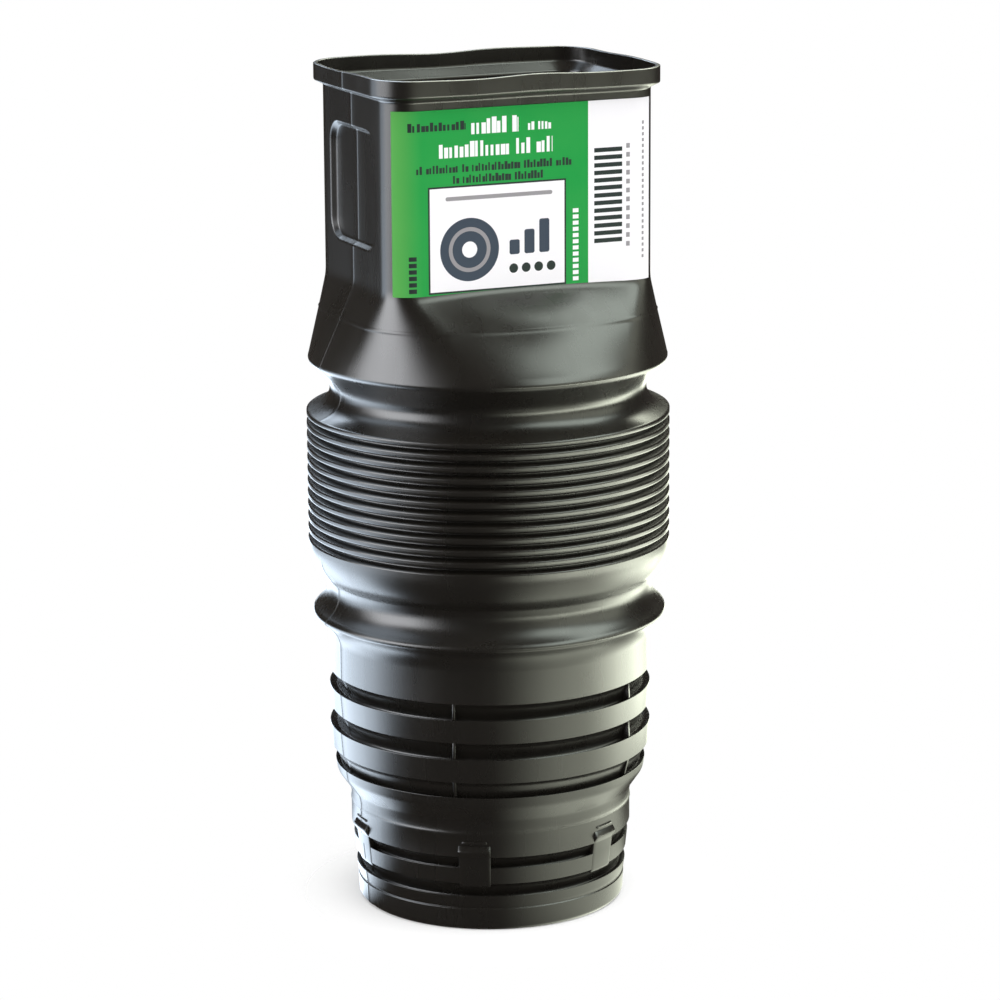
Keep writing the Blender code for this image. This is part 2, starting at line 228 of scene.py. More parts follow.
def waist_line():
    """From the last fold in to the waist and out to the foot of the ridge."""
    start = Vector((FOLD_TOP + CREST_WIDTH / 2, FOLD_RADIUS))
    waist = Vector((WAIST, WAIST_RADIUS))
    ridge = Vector((RIDGE - RIDGE_EDGE, RIDGE_RADIUS - RIDGE_EDGE / 2))
    in_pull = Vector((FOLD_TOP + WAIST_SHOULDER * WAIST_TIGHTNESS, WAIST_RADIUS))
    out_pull = Vector((WAIST + WAIST_UNDERCUT * WAIST_TIGHTNESS, WAIST_RADIUS))
    line = [start] + curve(start, in_pull, waist, 2 * BULGE_STEPS)
    line += curve(waist, out_pull, ridge, BULGE_STEPS)
    return line + curve(ridge, Vector((RIDGE, RIDGE_RADIUS)), ridge_top(), ROUND_STEPS)


def ridge_top():
    return Vector((RIDGE + RIDGE_EDGE, RIDGE_RADIUS - RIDGE_EDGE / 2))


print("waist rows", len(waist_line()))

# %% [markdown]
# Above the ridge the tube stops being round. Each row of the mesh is therefore kept as a
# mix of two outlines: a circle, and the rounded rectangle of the socket. Both have the
# same number of columns, and straight lines from a column on the circle to its partner on
# the rectangle give the flat, triangular facets of the real flare. Columns crowd together
# at the middle of the short sides, where the two halves of the mould leave a fine bead.

# %% Columns round the tube
SIDE_MARKS = (0.0, 0.00025, 0.0006, 0.003, 0.0054, 0.0079, 0.0103, 0.0123, 0.0143, 0.0163, 0.0183)
RECESS_EDGE_COLUMN = SIDE_MARKS[-1]
CORNER_COLUMNS, LONG_COLUMNS = 12, 12
SHORT_SIDE_TURN, CORNER_TURN = math.radians(16.875), math.radians(45)
LONG_SIDE_TURN = math.pi / 2 - SHORT_SIDE_TURN - CORNER_TURN
SEAM_LIFT = {0.0: 1.0, 0.00025: 0.25}


def column(x, y, out_x, out_y, angle, seam):
    """One column: its place and outward way on the rectangle, and its way on the circle."""
    flat = Vector((x, y, 0))
    out = Vector((out_x, out_y, 0))
    ray = Vector((math.cos(angle), math.sin(angle), 0))
    crown = (1 - (2 * x / SOCKET_SIDE_X) ** 2) ** 2
    return {"flat": flat, "out": out, "ray": ray, "seam": seam, "crown": crown}


def quarter_columns():
    """From the middle of a short side, round a corner, to the middle of a long side."""
    half_x, half_y = SOCKET_SIDE_X / 2, SOCKET_SIDE_Y / 2
    flat_x, flat_y = half_x - SOCKET_CORNER, half_y - SOCKET_CORNER
    columns = []
    for y in (*SIDE_MARKS, flat_y):
        angle = SHORT_SIDE_TURN * y / flat_y
        columns.append(column(half_x, y, 1, 0, angle, SEAM_LIFT.get(y, 0.0)))
    for share in shares(CORNER_COLUMNS):
        out_x, out_y = math.cos(share * math.pi / 2), math.sin(share * math.pi / 2)
        angle = SHORT_SIDE_TURN + share * CORNER_TURN
        x, y = flat_x + SOCKET_CORNER * out_x, flat_y + SOCKET_CORNER * out_y
        columns.append(column(x, y, out_x, out_y, angle, 0.0))
    for share in shares(LONG_COLUMNS):
        angle = SHORT_SIDE_TURN + CORNER_TURN + share * LONG_SIDE_TURN
        columns.append(column(flat_x * (1 - share), half_y, 0, 1, angle, 0.0))
    return columns


def mirrored(item, flip_x, flip_y):
    turn = Vector((flip_x, flip_y, 1))
    turned = {key: item[key] * turn for key in ("flat", "out", "ray")}
    return {**item, **turned}


def all_columns():
    quarter = quarter_columns()
    half = quarter + [mirrored(item, -1, 1) for item in reversed(quarter[:-1])]
    return half + [mirrored(item, 1, -1) for item in reversed(half[1:-1])]


COLUMNS = all_columns()
print("columns round the tube:", len(COLUMNS))

# %% Rows up the tube
SEAM_HEIGHT = 0.00018
LINE_WIDTH, LINE_LIFT = 0.0004, 0.00018
RIM_SAG, SAG_WAVES, SAG_START = 0.0006, 5, 1.1


def row(height, radius=0.0, share=0.0, grow=0.0, lift=0.0, seam=1.0):
    """A ring of the mesh. Its share is 0 on the circle and 1 on the rectangle."""
    item = {"height": height, "radius": radius, "share": share, "grow": grow}
    wave = max(0.0, (height - SOCKET_TOP) / (RIM_TOP - SOCKET_TOP))
    return {**item, "lift": lift, "seam": seam, "crown": 0.0, "wave": wave}


def round_rows(line, seam=1.0):
    """Rings on the circle. The bead of the mould stays inside the widest place."""
    rows = []
    for height, radius in line:
        room = max(0.0, min(1.0, (FOLD_RADIUS - radius) / SEAM_HEIGHT - 1))
        rows.append(row(height, radius, seam=seam * room))
    return rows


def between(low, high, height):
    """The row at a height between two others."""
    share = (height - low["height"]) / (high["height"] - low["height"])
    return {key: low[key] + (high[key] - low[key]) * share for key in low}


def with_line(rows, height):
    """Adds the fine raised line that a joint in the mould leaves at a height."""
    below = [number for number, item in enumerate(rows) if item["height"] < height - LINE_WIDTH]
    above = [number for number, item in enumerate(rows) if item["height"] > height + LINE_WIDTH]
    low, high = rows[below[-1]], rows[above[0]]
    added = [between(low, high, height + offset) for offset in (-LINE_WIDTH, 0, LINE_WIDTH)]
    added[1]["lift"] = LINE_LIFT
    return rows[:below[-1] + 1] + added + rows[above[0]:]


def ring_points(item, seam_height):
    """The points of a row, one for each column."""
    points = []
    for mark in COLUMNS:
        out = item["lift"] + mark["seam"] * item["seam"] * seam_height
        circle = mark["ray"] * (item["radius"] + out)
        square = mark["flat"] + mark["out"] * (item["grow"] + out)
        crown = math.copysign(mark["crown"] * item["crown"], mark["flat"][1])
        turn = math.atan2(mark["flat"][1], mark["flat"][0])
        sag = RIM_SAG * item["wave"] * (0.5 - 0.5 * math.cos(SAG_WAVES * turn + SAG_START))
        points.append(circle.lerp(square, item["share"]) + Vector((0, crown, item["height"] - sag)))
    return points


# %% [markdown]
# The recess in each short side has rounded corners, which a plain grid of rows and columns
# cannot follow. So the grid gets a rectangular hole there, and rings of the same number of
# points lead from the hole to the rounded outline, down the bevel and onto the floor. The
# rows beside it are set at the heights where that outline has its corners.

# %% Rows beside the recess
RECESS_STRAIGHT = RECESS_HEIGHT / 2 - RECESS_CORNER
PATCH_HALF_HEIGHT = RECESS_HEIGHT / 2 + RECESS_EDGE_COLUMN - RECESS_WIDTH / 2
CORNER_ROWS, STRAIGHT_ROWS = 4, 4


def patch_heights():
    """Heights from the lower edge of the patch to its upper edge, about its middle."""
    straight = [RECESS_STRAIGHT * step / STRAIGHT_ROWS for step in range(STRAIGHT_ROWS)]
    corner = PATCH_HALF_HEIGHT - RECESS_STRAIGHT
    bent = [RECESS_STRAIGHT + corner * step / CORNER_ROWS for step in range(CORNER_ROWS + 1)]
    upper = straight + bent
    return [-height for height in reversed(upper[1:])] + upper


PATCH_HEIGHTS = patch_heights()
print("rows beside the recess:", len(PATCH_HEIGHTS))

# %% Rows of the skin, from the foot to the rim
FLARE_STEPS, FLARE_CREASE = 12, 0.0022
FLARE_CROWN, CROWN_SKEW = 0.0030, 1.3
FLARE_LINE_SHARE, LINE_BELOW_LEDGE = 0.6, 0.0041
FLARE_LINE = RIDGE + FLARE_LINE_SHARE * FLARE_HEIGHT
SPIGOT_LINE = SPIGOT_HEIGHT - LINE_BELOW_LEDGE
ROWS_A_FOLD = 12


def flare_rows(low, high_height, high_grow):
    """Rows from the circle of the ridge to the rectangle, with a soft crease where it ends."""
    reach = high_height - low[0]
    start = Vector((low[0], 0))
    crease = Vector((high_height, reach))
    up = crease + Vector((FLARE_CREASE, 0))
    down = crease.lerp(start, FLARE_CREASE / (crease - start).length)
    line = [start.lerp(down, step / FLARE_STEPS) for step in range(FLARE_STEPS + 1)]
    line += curve(down, crease, up, 2 * ROUND_STEPS)
    rows = [row(height, low[1], travel / reach, high_grow) for height, travel in line]
    for item in rows:
        item["crown"] = FLARE_CROWN * math.sin(math.pi * item["share"] ** CROWN_SKEW)
    return rows


def socket_rows(wall, corners):
    """Rows on the rectangle: beside the recess, and then the softened corners of the rim."""
    line = [(RECESS_MIDDLE + height, wall) for height in PATCH_HEIGHTS]
    line += soften([(*line[-1], 0), *corners])[1:]
    return [row(height, share=1.0, grow=grow) for height, grow in line]


def skin_rows():
    collar = [(BULGE_BASE, COLLAR_RADIUS, 0)]
    rows = with_line(round_rows(soften(spigot_corners() + barb_corners() + collar)), SPIGOT_LINE)
    bulge = round_rows(bulge_line(0))
    max(bulge, key=lambda item: item["radius"])["lift"] = LINE_LIFT / 2
    rows += bulge[1:] + round_rows(shoulder_line(0))
    rows += round_rows(drum_line(0, ROWS_A_FOLD), seam=0.0)
    rows += round_rows(waist_line())
    rows += with_line(flare_rows(ridge_top(), SOCKET_BASE, 0.0), FLARE_LINE)[1:]
    rim = [
        (RIM_BASE - RIM_UNDER, 0.0, SOFT),
        (RIM_BASE, RIM_OVERHANG, SOFT),
        (RIM_TOP - RIM_EDGE / 2, RIM_OVERHANG, RIM_EDGE),
        (RIM_TOP, RIM_OVERHANG - RIM_EDGE, 0),
    ]
    return rows + socket_rows(0.0, rim)


SKIN = skin_rows()
print("rows of the skin:", len(SKIN), "up to", round(SKIN[-1]["height"] * 1000, 2), "mm")

# %% Rows of the bore, one wall inside the skin
BORE_ROWS_A_FOLD = 8
LEDGE_RISE = WALL / 3


def bore_corners():
    foot, spigot, collar = FOOT_RADIUS - WALL, SPIGOT_RADIUS - WALL, COLLAR_RADIUS - WALL
    groove = BAND_RADIUS - GROOVE_DEPTH
    return [
        (0.0, foot, 0),
        (BEAD_LIP, foot, BROAD),
        (BEAD_TOP, foot, SOFT),
        (BAND_LIP, groove, SOFT),
        (BAND_TOP, groove, SOFT),
        (BAND_TOP + WALL, spigot, SOFT),
        (FIRST_SLOPE[0], spigot, BROAD),
        (FIRST_FACE[0] + WALL, HOLLOW_RADIUS, BROAD),
        (COLLAR_BASE, HOLLOW_RADIUS, SOFT),
        (COLLAR_BASE + WALL, collar, SOFT),
        (BULGE_BASE, collar, 0),
    ]


def bore_rows():
    rows = round_rows(soften(bore_corners()))
    rows += round_rows(bulge_line(WALL)[1:] + shoulder_line(WALL))
    rows += round_rows(drum_line(WALL, BORE_ROWS_A_FOLD), seam=0.0)
    crest = Vector((FOLD_TOP, FOLD_RADIUS - WALL))
    waist = Vector((WAIST, WAIST_RADIUS - WALL))
    pull = Vector((FOLD_TOP + WAIST_SHOULDER * WAIST_TIGHTNESS, WAIST_RADIUS - WALL))
    ridge = Vector((RIDGE - RIDGE_EDGE, RIDGE_RADIUS - RIDGE_WALL))
    rows += round_rows(curve(crest, pull, waist, BULGE_STEPS) + [waist + Vector((WALL, 0)), ridge])
    rows += flare_rows(ridge, SOCKET_BASE - WALL / 2, -WALL)[1:]
    ledge = [
        (SOCKET_TOP + LEDGE_RISE, -WALL, SOFT),
        (RIM_BASE + LEDGE_RISE, RIM_OVERHANG - WALL, SOFT),
        (RIM_TOP - RIM_EDGE / 2, RIM_OVERHANG - WALL, RIM_EDGE),
        (RIM_TOP, RIM_OVERHANG - WALL + RIM_EDGE / 2, 0),
    ]
    return rows + socket_rows(-WALL, ledge)


BORE = bore_rows()
print("rows of the bore:", len(BORE))

# %% Rings of the recess
BEVEL_START, BEVEL_END = -0.0012, 0.0030
BEVEL_CORNERS = [
    (BEVEL_START, 0.0, 0),
    (0.0, 0.0, SOFT),
    (RECESS_DRAFT, RECESS_DEPTH, SOFT),
    (BEVEL_END, RECESS_DEPTH, 0),
]
SAME_PLACE = 0.00001


def recess_place(y, z, inset):
    """Where a point of the patch's edge lands on the rounded outline, moved in by an inset."""
    corner = RECESS_CORNER - inset
    flat_y, flat_z = RECESS_WIDTH / 2 - RECESS_CORNER, RECESS_HEIGHT / 2 - RECESS_CORNER
    over_y = (abs(y) - flat_y) / (RECESS_EDGE_COLUMN - flat_y)
    over_z = (abs(z) - flat_z) / (PATCH_HALF_HEIGHT - flat_z)
    if abs(y) > RECESS_EDGE_COLUMN - SAME_PLACE:
        angle = max(over_z, 0) * math.pi / 4
        place_z = abs(z) if over_z <= 0 else flat_z + corner * math.sin(angle)
        place_y = flat_y + corner * math.cos(angle)
    else:
        angle = math.pi / 2 - max(over_y, 0) * math.pi / 4
        place_y = abs(y) if over_y <= 0 else flat_y + corner * math.cos(angle)
        place_z = flat_z + corner * math.sin(angle)
    return math.copysign(place_y, y), math.copysign(place_z, z)


# %% Filling the hole in the grid with the recess
def patch_edge(columns, rows):
    """The edge of the patch, anticlockwise seen from outside, as (row, column) pairs."""
    low, high = rows[0], rows[-1]
    edge = [(low, number) for number in columns]
    edge += [(number, columns[-1]) for number in rows[1:]]
    edge += [(high, number) for number in reversed(columns[:-1])]
    return edge + [(number, columns[0]) for number in reversed(rows[1:-1])]


def add_recess(points, faces, rows, columns, grow, seam_height):
    """Adds the bevel and the floor of one recess, and its faces, to a skin."""
    edge = patch_edge(columns, rows)
    side = COLUMNS[columns[0]]["out"][0]
    wall_x = SOCKET_SIDE_X / 2 + grow
    heights = dict(zip(rows, PATCH_HEIGHTS))
    ring = [r * len(COLUMNS) + c for r, c in edge]
    places = {}
    for inset, depth in soften(BEVEL_CORNERS):
        fresh = []
        for r, c in edge:
            y, z = recess_place(COLUMNS[c]["flat"][1], heights[r], inset)
            x = wall_x - depth + COLUMNS[c]["seam"] * seam_height
            places[r, c] = Vector((side * x, y, RECESS_MIDDLE + z))
            fresh.append(len(points))
            points.append(places[r, c])
        for here in range(len(edge)):
            after = (here + 1) % len(edge)
            faces.append((ring[here], ring[after], fresh[after], fresh[here]))
        ring = fresh
    known = dict(zip(edge, ring))
    add_recess_floor(points, faces, rows, columns, places, known, heights)


def add_recess_floor(points, faces, rows, columns, places, known, heights):
    """Fills the last ring with a grid that eases from its edges to its middle."""
    left, right, low, high = columns[0], columns[-1], rows[0], rows[-1]
    start_y, end_y = COLUMNS[left]["flat"][1], COLUMNS[right]["flat"][1]
    for r in rows[1:-1]:
        up = (heights[r] - heights[low]) / (heights[high] - heights[low])
        for c in columns[1:-1]:
            along = (COLUMNS[c]["flat"][1] - start_y) / (end_y - start_y)
            upright = places[low, c].lerp(places[high, c], up)
            level = places[r, left].lerp(places[r, right], along)
            bottom = places[low, left].lerp(places[low, right], along)
            top = places[high, left].lerp(places[high, right], along)
            known[r, c] = len(points)
            points.append(upright + level - bottom.lerp(top, up))
    for r, above in zip(rows, rows[1:]):
        for c, after in zip(columns, columns[1:]):
            faces.append((known[r, c], known[r, after], known[above, after], known[above, c]))


# %% Building a skin with its two recesses
def recess_columns(side):
    """The columns across the recess of one short side, in the order they go round."""
    count, reach = len(COLUMNS), len(SIDE_MARKS) - 1
    middle = 0 if side > 0 else count // 2
    return [(middle + step) % count for step in range(-reach, reach + 1)]


def recess_rows(rows):
    """The numbers of the rows that run beside the recess."""
    wanted = []
    for number, item in enumerate(rows):
        off = min(abs(item["height"] - RECESS_MIDDLE - height) for height in PATCH_HEIGHTS)
        if item["share"] == 1.0 and off < SAME_PLACE:
            wanted.append(number)
    return wanted


def build_skin(rows, grow, seam_height):
    """Points and faces of one skin, facing outwards. Its first points are its rows."""
    points, faces = [], []
    for item in rows:
        points += ring_points(item, seam_height)
    beside = recess_rows(rows)
    holes = set()
    for side in (1, -1):
        columns = recess_columns(side)
        holes.update((r, c) for r in beside[:-1] for c in columns[:-1])
        add_recess(points, faces, beside, columns, grow, seam_height)
    count = len(COLUMNS)
    for r in range(len(rows) - 1):
        low, high = r * count, (r + 1) * count
        for c in range(count):
            after = (c + 1) % count
            if (r, c) not in holes:
                faces.append((low + c, low + after, high + after, high + c))
    return points, faces


# %% Closing the two skins into one shell
def new_mesh(name, points, faces):
    mesh = bpy.data.meshes.new(name)
    mesh.from_pydata(points, [], faces)
    mesh.validate()
    return mesh


def build_shell():
    """One closed wall: the skin, the bore turned inwards, and a strip at the rim and at the foot."""
    skin, skin_faces = build_skin(SKIN, 0.0, SEAM_HEIGHT)
    bore, bore_faces = build_skin(BORE, -WALL, 0.0)
    shift, count = len(skin), len(COLUMNS)
    faces = skin_faces + [tuple(shift + corner for corner in reversed(face)) for face in bore_faces]
    skin_top, bore_top = (len(SKIN) - 1) * count, shift + (len(BORE) - 1) * count
    for c in range(count):
        after = (c + 1) % count
        faces.append((skin_top + c, skin_top + after, bore_top + after, bore_top + c))
        faces.append((c, shift + c, shift + after, after))
    mesh = new_mesh("tube_wall", skin + bore, faces)
    mesh.shade_smooth()
    return mesh


tube_mesh = build_shell()
print("tube wall:", len(tube_mesh.vertices), "points,", len(tube_mesh.polygons), "faces")


# %% [markdown]
# The twelve folds of the bellows all have one shape, so a rule makes them: how far a point
# moves in depends only on its height inside its fold. A Geometry Nodes tree holds that rule
# with the pitch, the depth and the shape of the crest as inputs. It moves the skin and the
# bore alike, which keeps the wall at one thickness. Folds made by hand would lose that.

# %% A small helper for node trees
class Tree:
    """Adds nodes to a tree and joins them: an input takes a socket or a plain value."""

    def __init__(self, tree):
        self.tree = tree

    def feed(self, node, inputs):
        for key, value in inputs.items():
            if isinstance(value, bpy.types.NodeSocket):
                self.tree.links.new(value, node.inputs[key])
            else:
                node.inputs[key].default_value = value
        return node

    def add(self, kind, inputs=None, **settings):
        node = self.tree.nodes.new(kind)
        for name, value in settings.items():
            setattr(node, name, value)
        return self.feed(node, inputs or {})

    def first(self, kind, inputs=None, **settings):
        """The first output of a new node."""
        return self.add(kind, inputs, **settings).outputs[0]

    def math(self, operation, first, second=0.0, third=0.0):
        return self.first("ShaderNodeMath", {0: first, 1: second, 2: third}, operation=operation)

    def vector(self, operation, first, second=(0, 0, 0)):
        node = self.add("ShaderNodeVectorMath", {0: first, 1: second}, operation=operation)
        return node.outputs["Value" if operation in ("DOT_PRODUCT", "LENGTH") else "Vector"]

    def scaled(self, vector, amount):
        return self.first("ShaderNodeVectorMath", {0: vector, "Scale": amount}, operation="SCALE")

    def parts(self, vector):
        return self.add("ShaderNodeSeparateXYZ", {0: vector}).outputs

    def joined(self, x=0.0, y=0.0, z=0.0):
        return self.first("ShaderNodeCombineXYZ", {0: x, 1: y, 2: z})

    def ramp(self, value, low, high, out_low=0.0, out_high=1.0, kind="SMOOTHSTEP"):
        inputs = {"Value": value, 1: low, 2: high, 3: out_low, 4: out_high}
        return self.add("ShaderNodeMapRange", inputs, interpolation_type=kind).outputs["Result"]


def new_group(kind, name, inputs, output):
    """A node group: its helper, its inputs and its end."""
    tree = bpy.data.node_groups.new(name, kind)
    for label, socket in inputs:
        tree.interface.new_socket(label, in_out="INPUT", socket_type=socket)
    tree.interface.new_socket(output[0], in_out="OUTPUT", socket_type=output[1])
    kit = Tree(tree)
    return kit, kit.add("NodeGroupInput").outputs, kit.add("NodeGroupOutput")


def end_shape_tree(kit, out, shape, finish):
    """Ends a tree with real geometry that wears its finish."""
    solid = kit.first("GeometryNodeRealizeInstances", {"Geometry": shape})
    finished = kit.first("GeometryNodeSetMaterial", {"Geometry": solid, "Material": finish})
    kit.feed(out, {0: finished})
    return kit.tree


# %% The rule of the folds
FLOAT, WHOLE = "NodeSocketFloat", "NodeSocketInt"
SHAPE, FINISH = ("Geometry", "NodeSocketGeometry"), ("Finish", "NodeSocketMaterial")
FOLD_INPUTS = [
    SHAPE, ("First Crest", FLOAT), ("Pitch", FLOAT), ("Folds", WHOLE), ("Depth", FLOAT),
    ("Crest Share", FLOAT), ("Roundness", FLOAT), FINISH,
]


def fold_tree():
    kit, given, out = new_group("GeometryNodeTree", "fold_wave", FOLD_INPUTS, SHAPE)
    parts = kit.parts(kit.first("GeometryNodeInputPosition"))
    turns = kit.math("DIVIDE", kit.math("SUBTRACT", parts["Z"], given["First Crest"]), given["Pitch"])
    above = kit.math("GREATER_THAN", turns, 0.0)
    below = kit.math("LESS_THAN", turns, kit.math("SUBTRACT", given["Folds"], 1.0))
    from_crest = kit.math("MULTIPLY", kit.math("PINGPONG", turns, 0.5), 2.0)
    slope = kit.ramp(from_crest, given["Crest Share"], 1.0, kind="LINEAR")
    inward = kit.math("MULTIPLY", kit.math("POWER", slope, given["Roundness"]), given["Depth"])
    ray = kit.vector("NORMALIZE", kit.joined(parts["X"], parts["Y"]))
    push = kit.scaled(ray, kit.math("MULTIPLY", inward, -1.0))
    inside = kit.math("MULTIPLY", above, below)
    moves = {"Geometry": given["Geometry"], "Selection": inside, "Offset": push}
    return end_shape_tree(kit, out, kit.first("GeometryNodeSetPosition", moves), given["Finish"])


# %% Running a tree and keeping its result
def put_in_scene(name, data):
    item = bpy.data.objects.new(name, data)
    bpy.context.scene.collection.objects.link(item)
    return item


def baked(name, item):
    """The finished mesh of an object, which goes with its modifiers."""
    graph = bpy.context.evaluated_depsgraph_get()
    mesh = bpy.data.meshes.new_from_object(item.evaluated_get(graph))
    mesh.name = name
    item.modifiers.clear()
    bpy.data.objects.remove(item)
    return mesh


def grow_from_tree(name, mesh, tree, values):
    """Runs a tree on a mesh and keeps the result as a plain object."""
    seed = put_in_scene(f"{name}_seed", mesh)
    step = seed.modifiers.new(name, "NODES")
    step.node_group = tree
    sockets = {item.name: item.identifier for item in tree.interface.items_tree if item.in_out == "INPUT"}
    for label, value in values.items():
        step[sockets[label]] = value
    seed.update_tag()
    piece = put_in_scene(name, baked(name, seed))
    print(name, "has", len(piece.data.polygons), "faces")
    return piece


# %% [markdown]
# The plastic is black polyethylene with a satin gloss. It is nearly one colour, so its
# look comes from the shine: a roughness that drifts a little, faint streaks that run down
# the part where the hot tube was stretched in the mould, and a very fine grain. All three
# come from noise on the object's own coordinates, so they stay put from every side.

# %% Helpers for materials
NOISE_LOW, NOISE_HIGH = 0.3, 0.7


def new_material(name):
    """A material, its helper and its shader."""
    material = bpy.data.materials.new(name)
    material.use_nodes = True
    return material, Tree(material.node_tree), material.node_tree.nodes["Principled BSDF"]


def own_place(kit):
    return kit.add("ShaderNodeTexCoord").outputs["Object"]


def noise(kit, place, scale, detail):
    inputs = {"Vector": place, "Scale": scale, "Detail": detail}
    return kit.add("ShaderNodeTexNoise", inputs).outputs["Fac"]


def mix(kit, factor, first, second):
    """A colour between two others."""
    inputs = {"Factor": factor, "A": first, "B": second}
    return kit.add("ShaderNodeMix", inputs, data_type="RGBA").outputs["Result"]


def bump(kit, height, strength, distance):
    return kit.first("ShaderNodeBump", {"Strength": strength, "Distance": distance, "Height": height})


# %% Black moulded plastic
GRAIN_SCALE, GRAIN_DETAIL, GRAIN_RELIEF = 1900.0, 2.0, 0.25
DRIFT_SCALE, DRIFT_DETAIL, DRIFT_RELIEF = 26.0, 4.0, 1.5
STREAK_SCALE, STREAK_DETAIL, STREAK_RELIEF, STREAK_STRETCH = 150.0, 3.0, 0.6, 0.045
RELIEF_STRENGTH, RELIEF_DISTANCE = 0.12, 0.0002
SHINE_LOW, SHINE_HIGH, PLASTIC_IOR, PLASTIC_SHINE = 0.235, 0.315, 1.52, 0.62
BLACK_DEEP, BLACK_WORN = (0.0065, 0.0056, 0.0045, 1), (0.0125, 0.0108, 0.0085, 1)


def black_plastic():
    material, kit, shader = new_material("black_plastic")
    place = own_place(kit)
    stretched = kit.first("ShaderNodeMapping", {"Vector": place, "Scale": (1, 1, STREAK_STRETCH)})
    drift = noise(kit, place, DRIFT_SCALE, DRIFT_DETAIL)
    streak = noise(kit, stretched, STREAK_SCALE, STREAK_DETAIL)
    grain = noise(kit, place, GRAIN_SCALE, GRAIN_DETAIL)
    mixed = kit.math("MULTIPLY_ADD", streak, 0.5, kit.math("MULTIPLY", drift, 0.5))
    relief = kit.math("MULTIPLY_ADD", grain, GRAIN_RELIEF, kit.math("MULTIPLY", streak, STREAK_RELIEF))
    relief = kit.math("ADD", relief, kit.math("MULTIPLY", drift, DRIFT_RELIEF))
    kit.feed(shader, {
        "Base Color": mix(kit, mixed, BLACK_DEEP, BLACK_WORN),
        "Roughness": kit.ramp(mixed, NOISE_LOW, NOISE_HIGH, SHINE_LOW, SHINE_HIGH, kind="LINEAR"),
        "Normal": bump(kit, relief, RELIEF_STRENGTH, RELIEF_DISTANCE),
        "IOR": PLASTIC_IOR,
        "Specular IOR Level": PLASTIC_SHINE,
    })
    return material


BLACK = black_plastic()
print("finish:", BLACK.name)

# %% The tube with its folds
CREST_SHARE, FOLD_ROUNDNESS = 0.40, 1.15

tube = grow_from_tree("adapter_tube", tube_mesh, fold_tree(), {
    "First Crest": FOLD_BASE, "Pitch": FOLD_PITCH, "Folds": FOLD_COUNT, "Depth": FOLD_DEPTH,
    "Crest Share": CREST_SHARE, "Roundness": FOLD_ROUNDNESS, "Finish": BLACK,
})
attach(tube, "root")
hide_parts("adapter_body")

# %% [markdown]
# Small parts repeat round the spigot: six catches that snap behind a pipe's lip, a witness
# lip above each, and short ribs that stiffen the barbs. One of each is modelled in its
# place, and a second tree turns the copies round the axis and lifts the ribs from barb to
# barb. The copies are joined into a plain mesh at the end.

# %% Copies round the axis
RING_INPUTS = [SHAPE, ("Copies", WHOLE), ("Levels", WHOLE), ("Level Pitch", FLOAT), FINISH]


def ring_tree():
    kit, given, out = new_group("GeometryNodeTree", "copies_round_axis", RING_INPUTS, SHAPE)
    total = kit.math("MULTIPLY", given["Copies"], given["Levels"])
    spots = kit.first("GeometryNodePoints", {"Count": total})
    number = kit.first("GeometryNodeInputIndex")
    level = kit.math("FLOOR", kit.math("DIVIDE", kit.math("ADD", number, 0.5), given["Copies"]))
    lift = kit.joined(z=kit.math("MULTIPLY", level, given["Level Pitch"]))
    placed = kit.first("GeometryNodeSetPosition", {"Geometry": spots, "Position": lift})
    share = kit.math("DIVIDE", kit.math("MODULO", number, given["Copies"]), given["Copies"])
    turn = kit.joined(z=kit.math("MULTIPLY", share, math.tau))
    spin = kit.first("FunctionNodeEulerToRotation", {0: turn})
    inputs = {"Points": placed, "Instance": given["Geometry"], "Rotation": spin}
    copies = kit.first("GeometryNodeInstanceOnPoints", inputs)
    return end_shape_tree(kit, out, copies, given["Finish"])


RING = ring_tree()


def ring_of(name, mesh, copies, levels=1):
    """Copies of a block round the axis, on one barb or more, in black plastic."""
    values = {"Copies": copies, "Levels": levels, "Level Pitch": BARB_PITCH, "Finish": BLACK}
    return grow_from_tree(name, mesh, RING, values)


# %% Small blocks with eased edges
EASED_EDGE, SHARP_EDGE = math.radians(25), math.radians(50)


def arc_block(name, section, width_angle, steps, middle=0.0):
    """A closed solid: a section of (height, radius) points swept through a small angle."""
    points, faces = [], []
    for step in range(steps + 1):
        angle = middle + width_angle * (step / steps - 0.5)
        for height, radius in section:
            points.append((radius * math.cos(angle), radius * math.sin(angle), height))
    size = len(section)
    for step in range(steps):
        low, high = step * size, (step + 1) * size
        for corner in range(size):
            after = (corner + 1) % size
            faces.append((low + corner, low + after, high + after, high + corner))
    faces.append(tuple(reversed(range(size))))
    faces.append(tuple(steps * size + corner for corner in range(size)))
    return new_mesh(name, points, faces)


def faces_outwards(mesh):
    """Turns a closed mesh right side out."""
    shape = bmesh.new()
    shape.from_mesh(mesh)
    bmesh.ops.recalc_face_normals(shape, faces=shape.faces)
    shape.to_mesh(mesh)
    shape.free()
    return mesh


def smooth_to_edges(mesh):
    mesh.shade_smooth()
    mesh.set_sharp_from_angle(angle=SHARP_EDGE)
    return mesh


def eased(name, mesh, width):
    """Bevels the edges of a small block and returns it as a plain mesh."""
    block = put_in_scene(f"{name}_block", faces_outwards(mesh))
    step = block.modifiers.new("ease", "BEVEL")
    step.width = width
    step.segments = 2
    step.limit_method = "ANGLE"
    step.angle_limit = EASED_EDGE
    return smooth_to_edges(baked(f"{name}_block", block))


# %% Six catches
CATCH_COUNT, CATCH_RADIUS, CATCH_TOP = 6, 0.0408, 0.0240
CATCH_LENGTH, CATCH_ANGLE, CATCH_EDGE = 0.0112, math.radians(13), 0.0005
CATCH_SINK, CATCH_CROWN, CATCH_FLUSH, CATCH_START = 0.0040, 0.0012, 0.00008, 0.00032
CATCH_EASE, CATCH_STEPS = 0.00025, 8


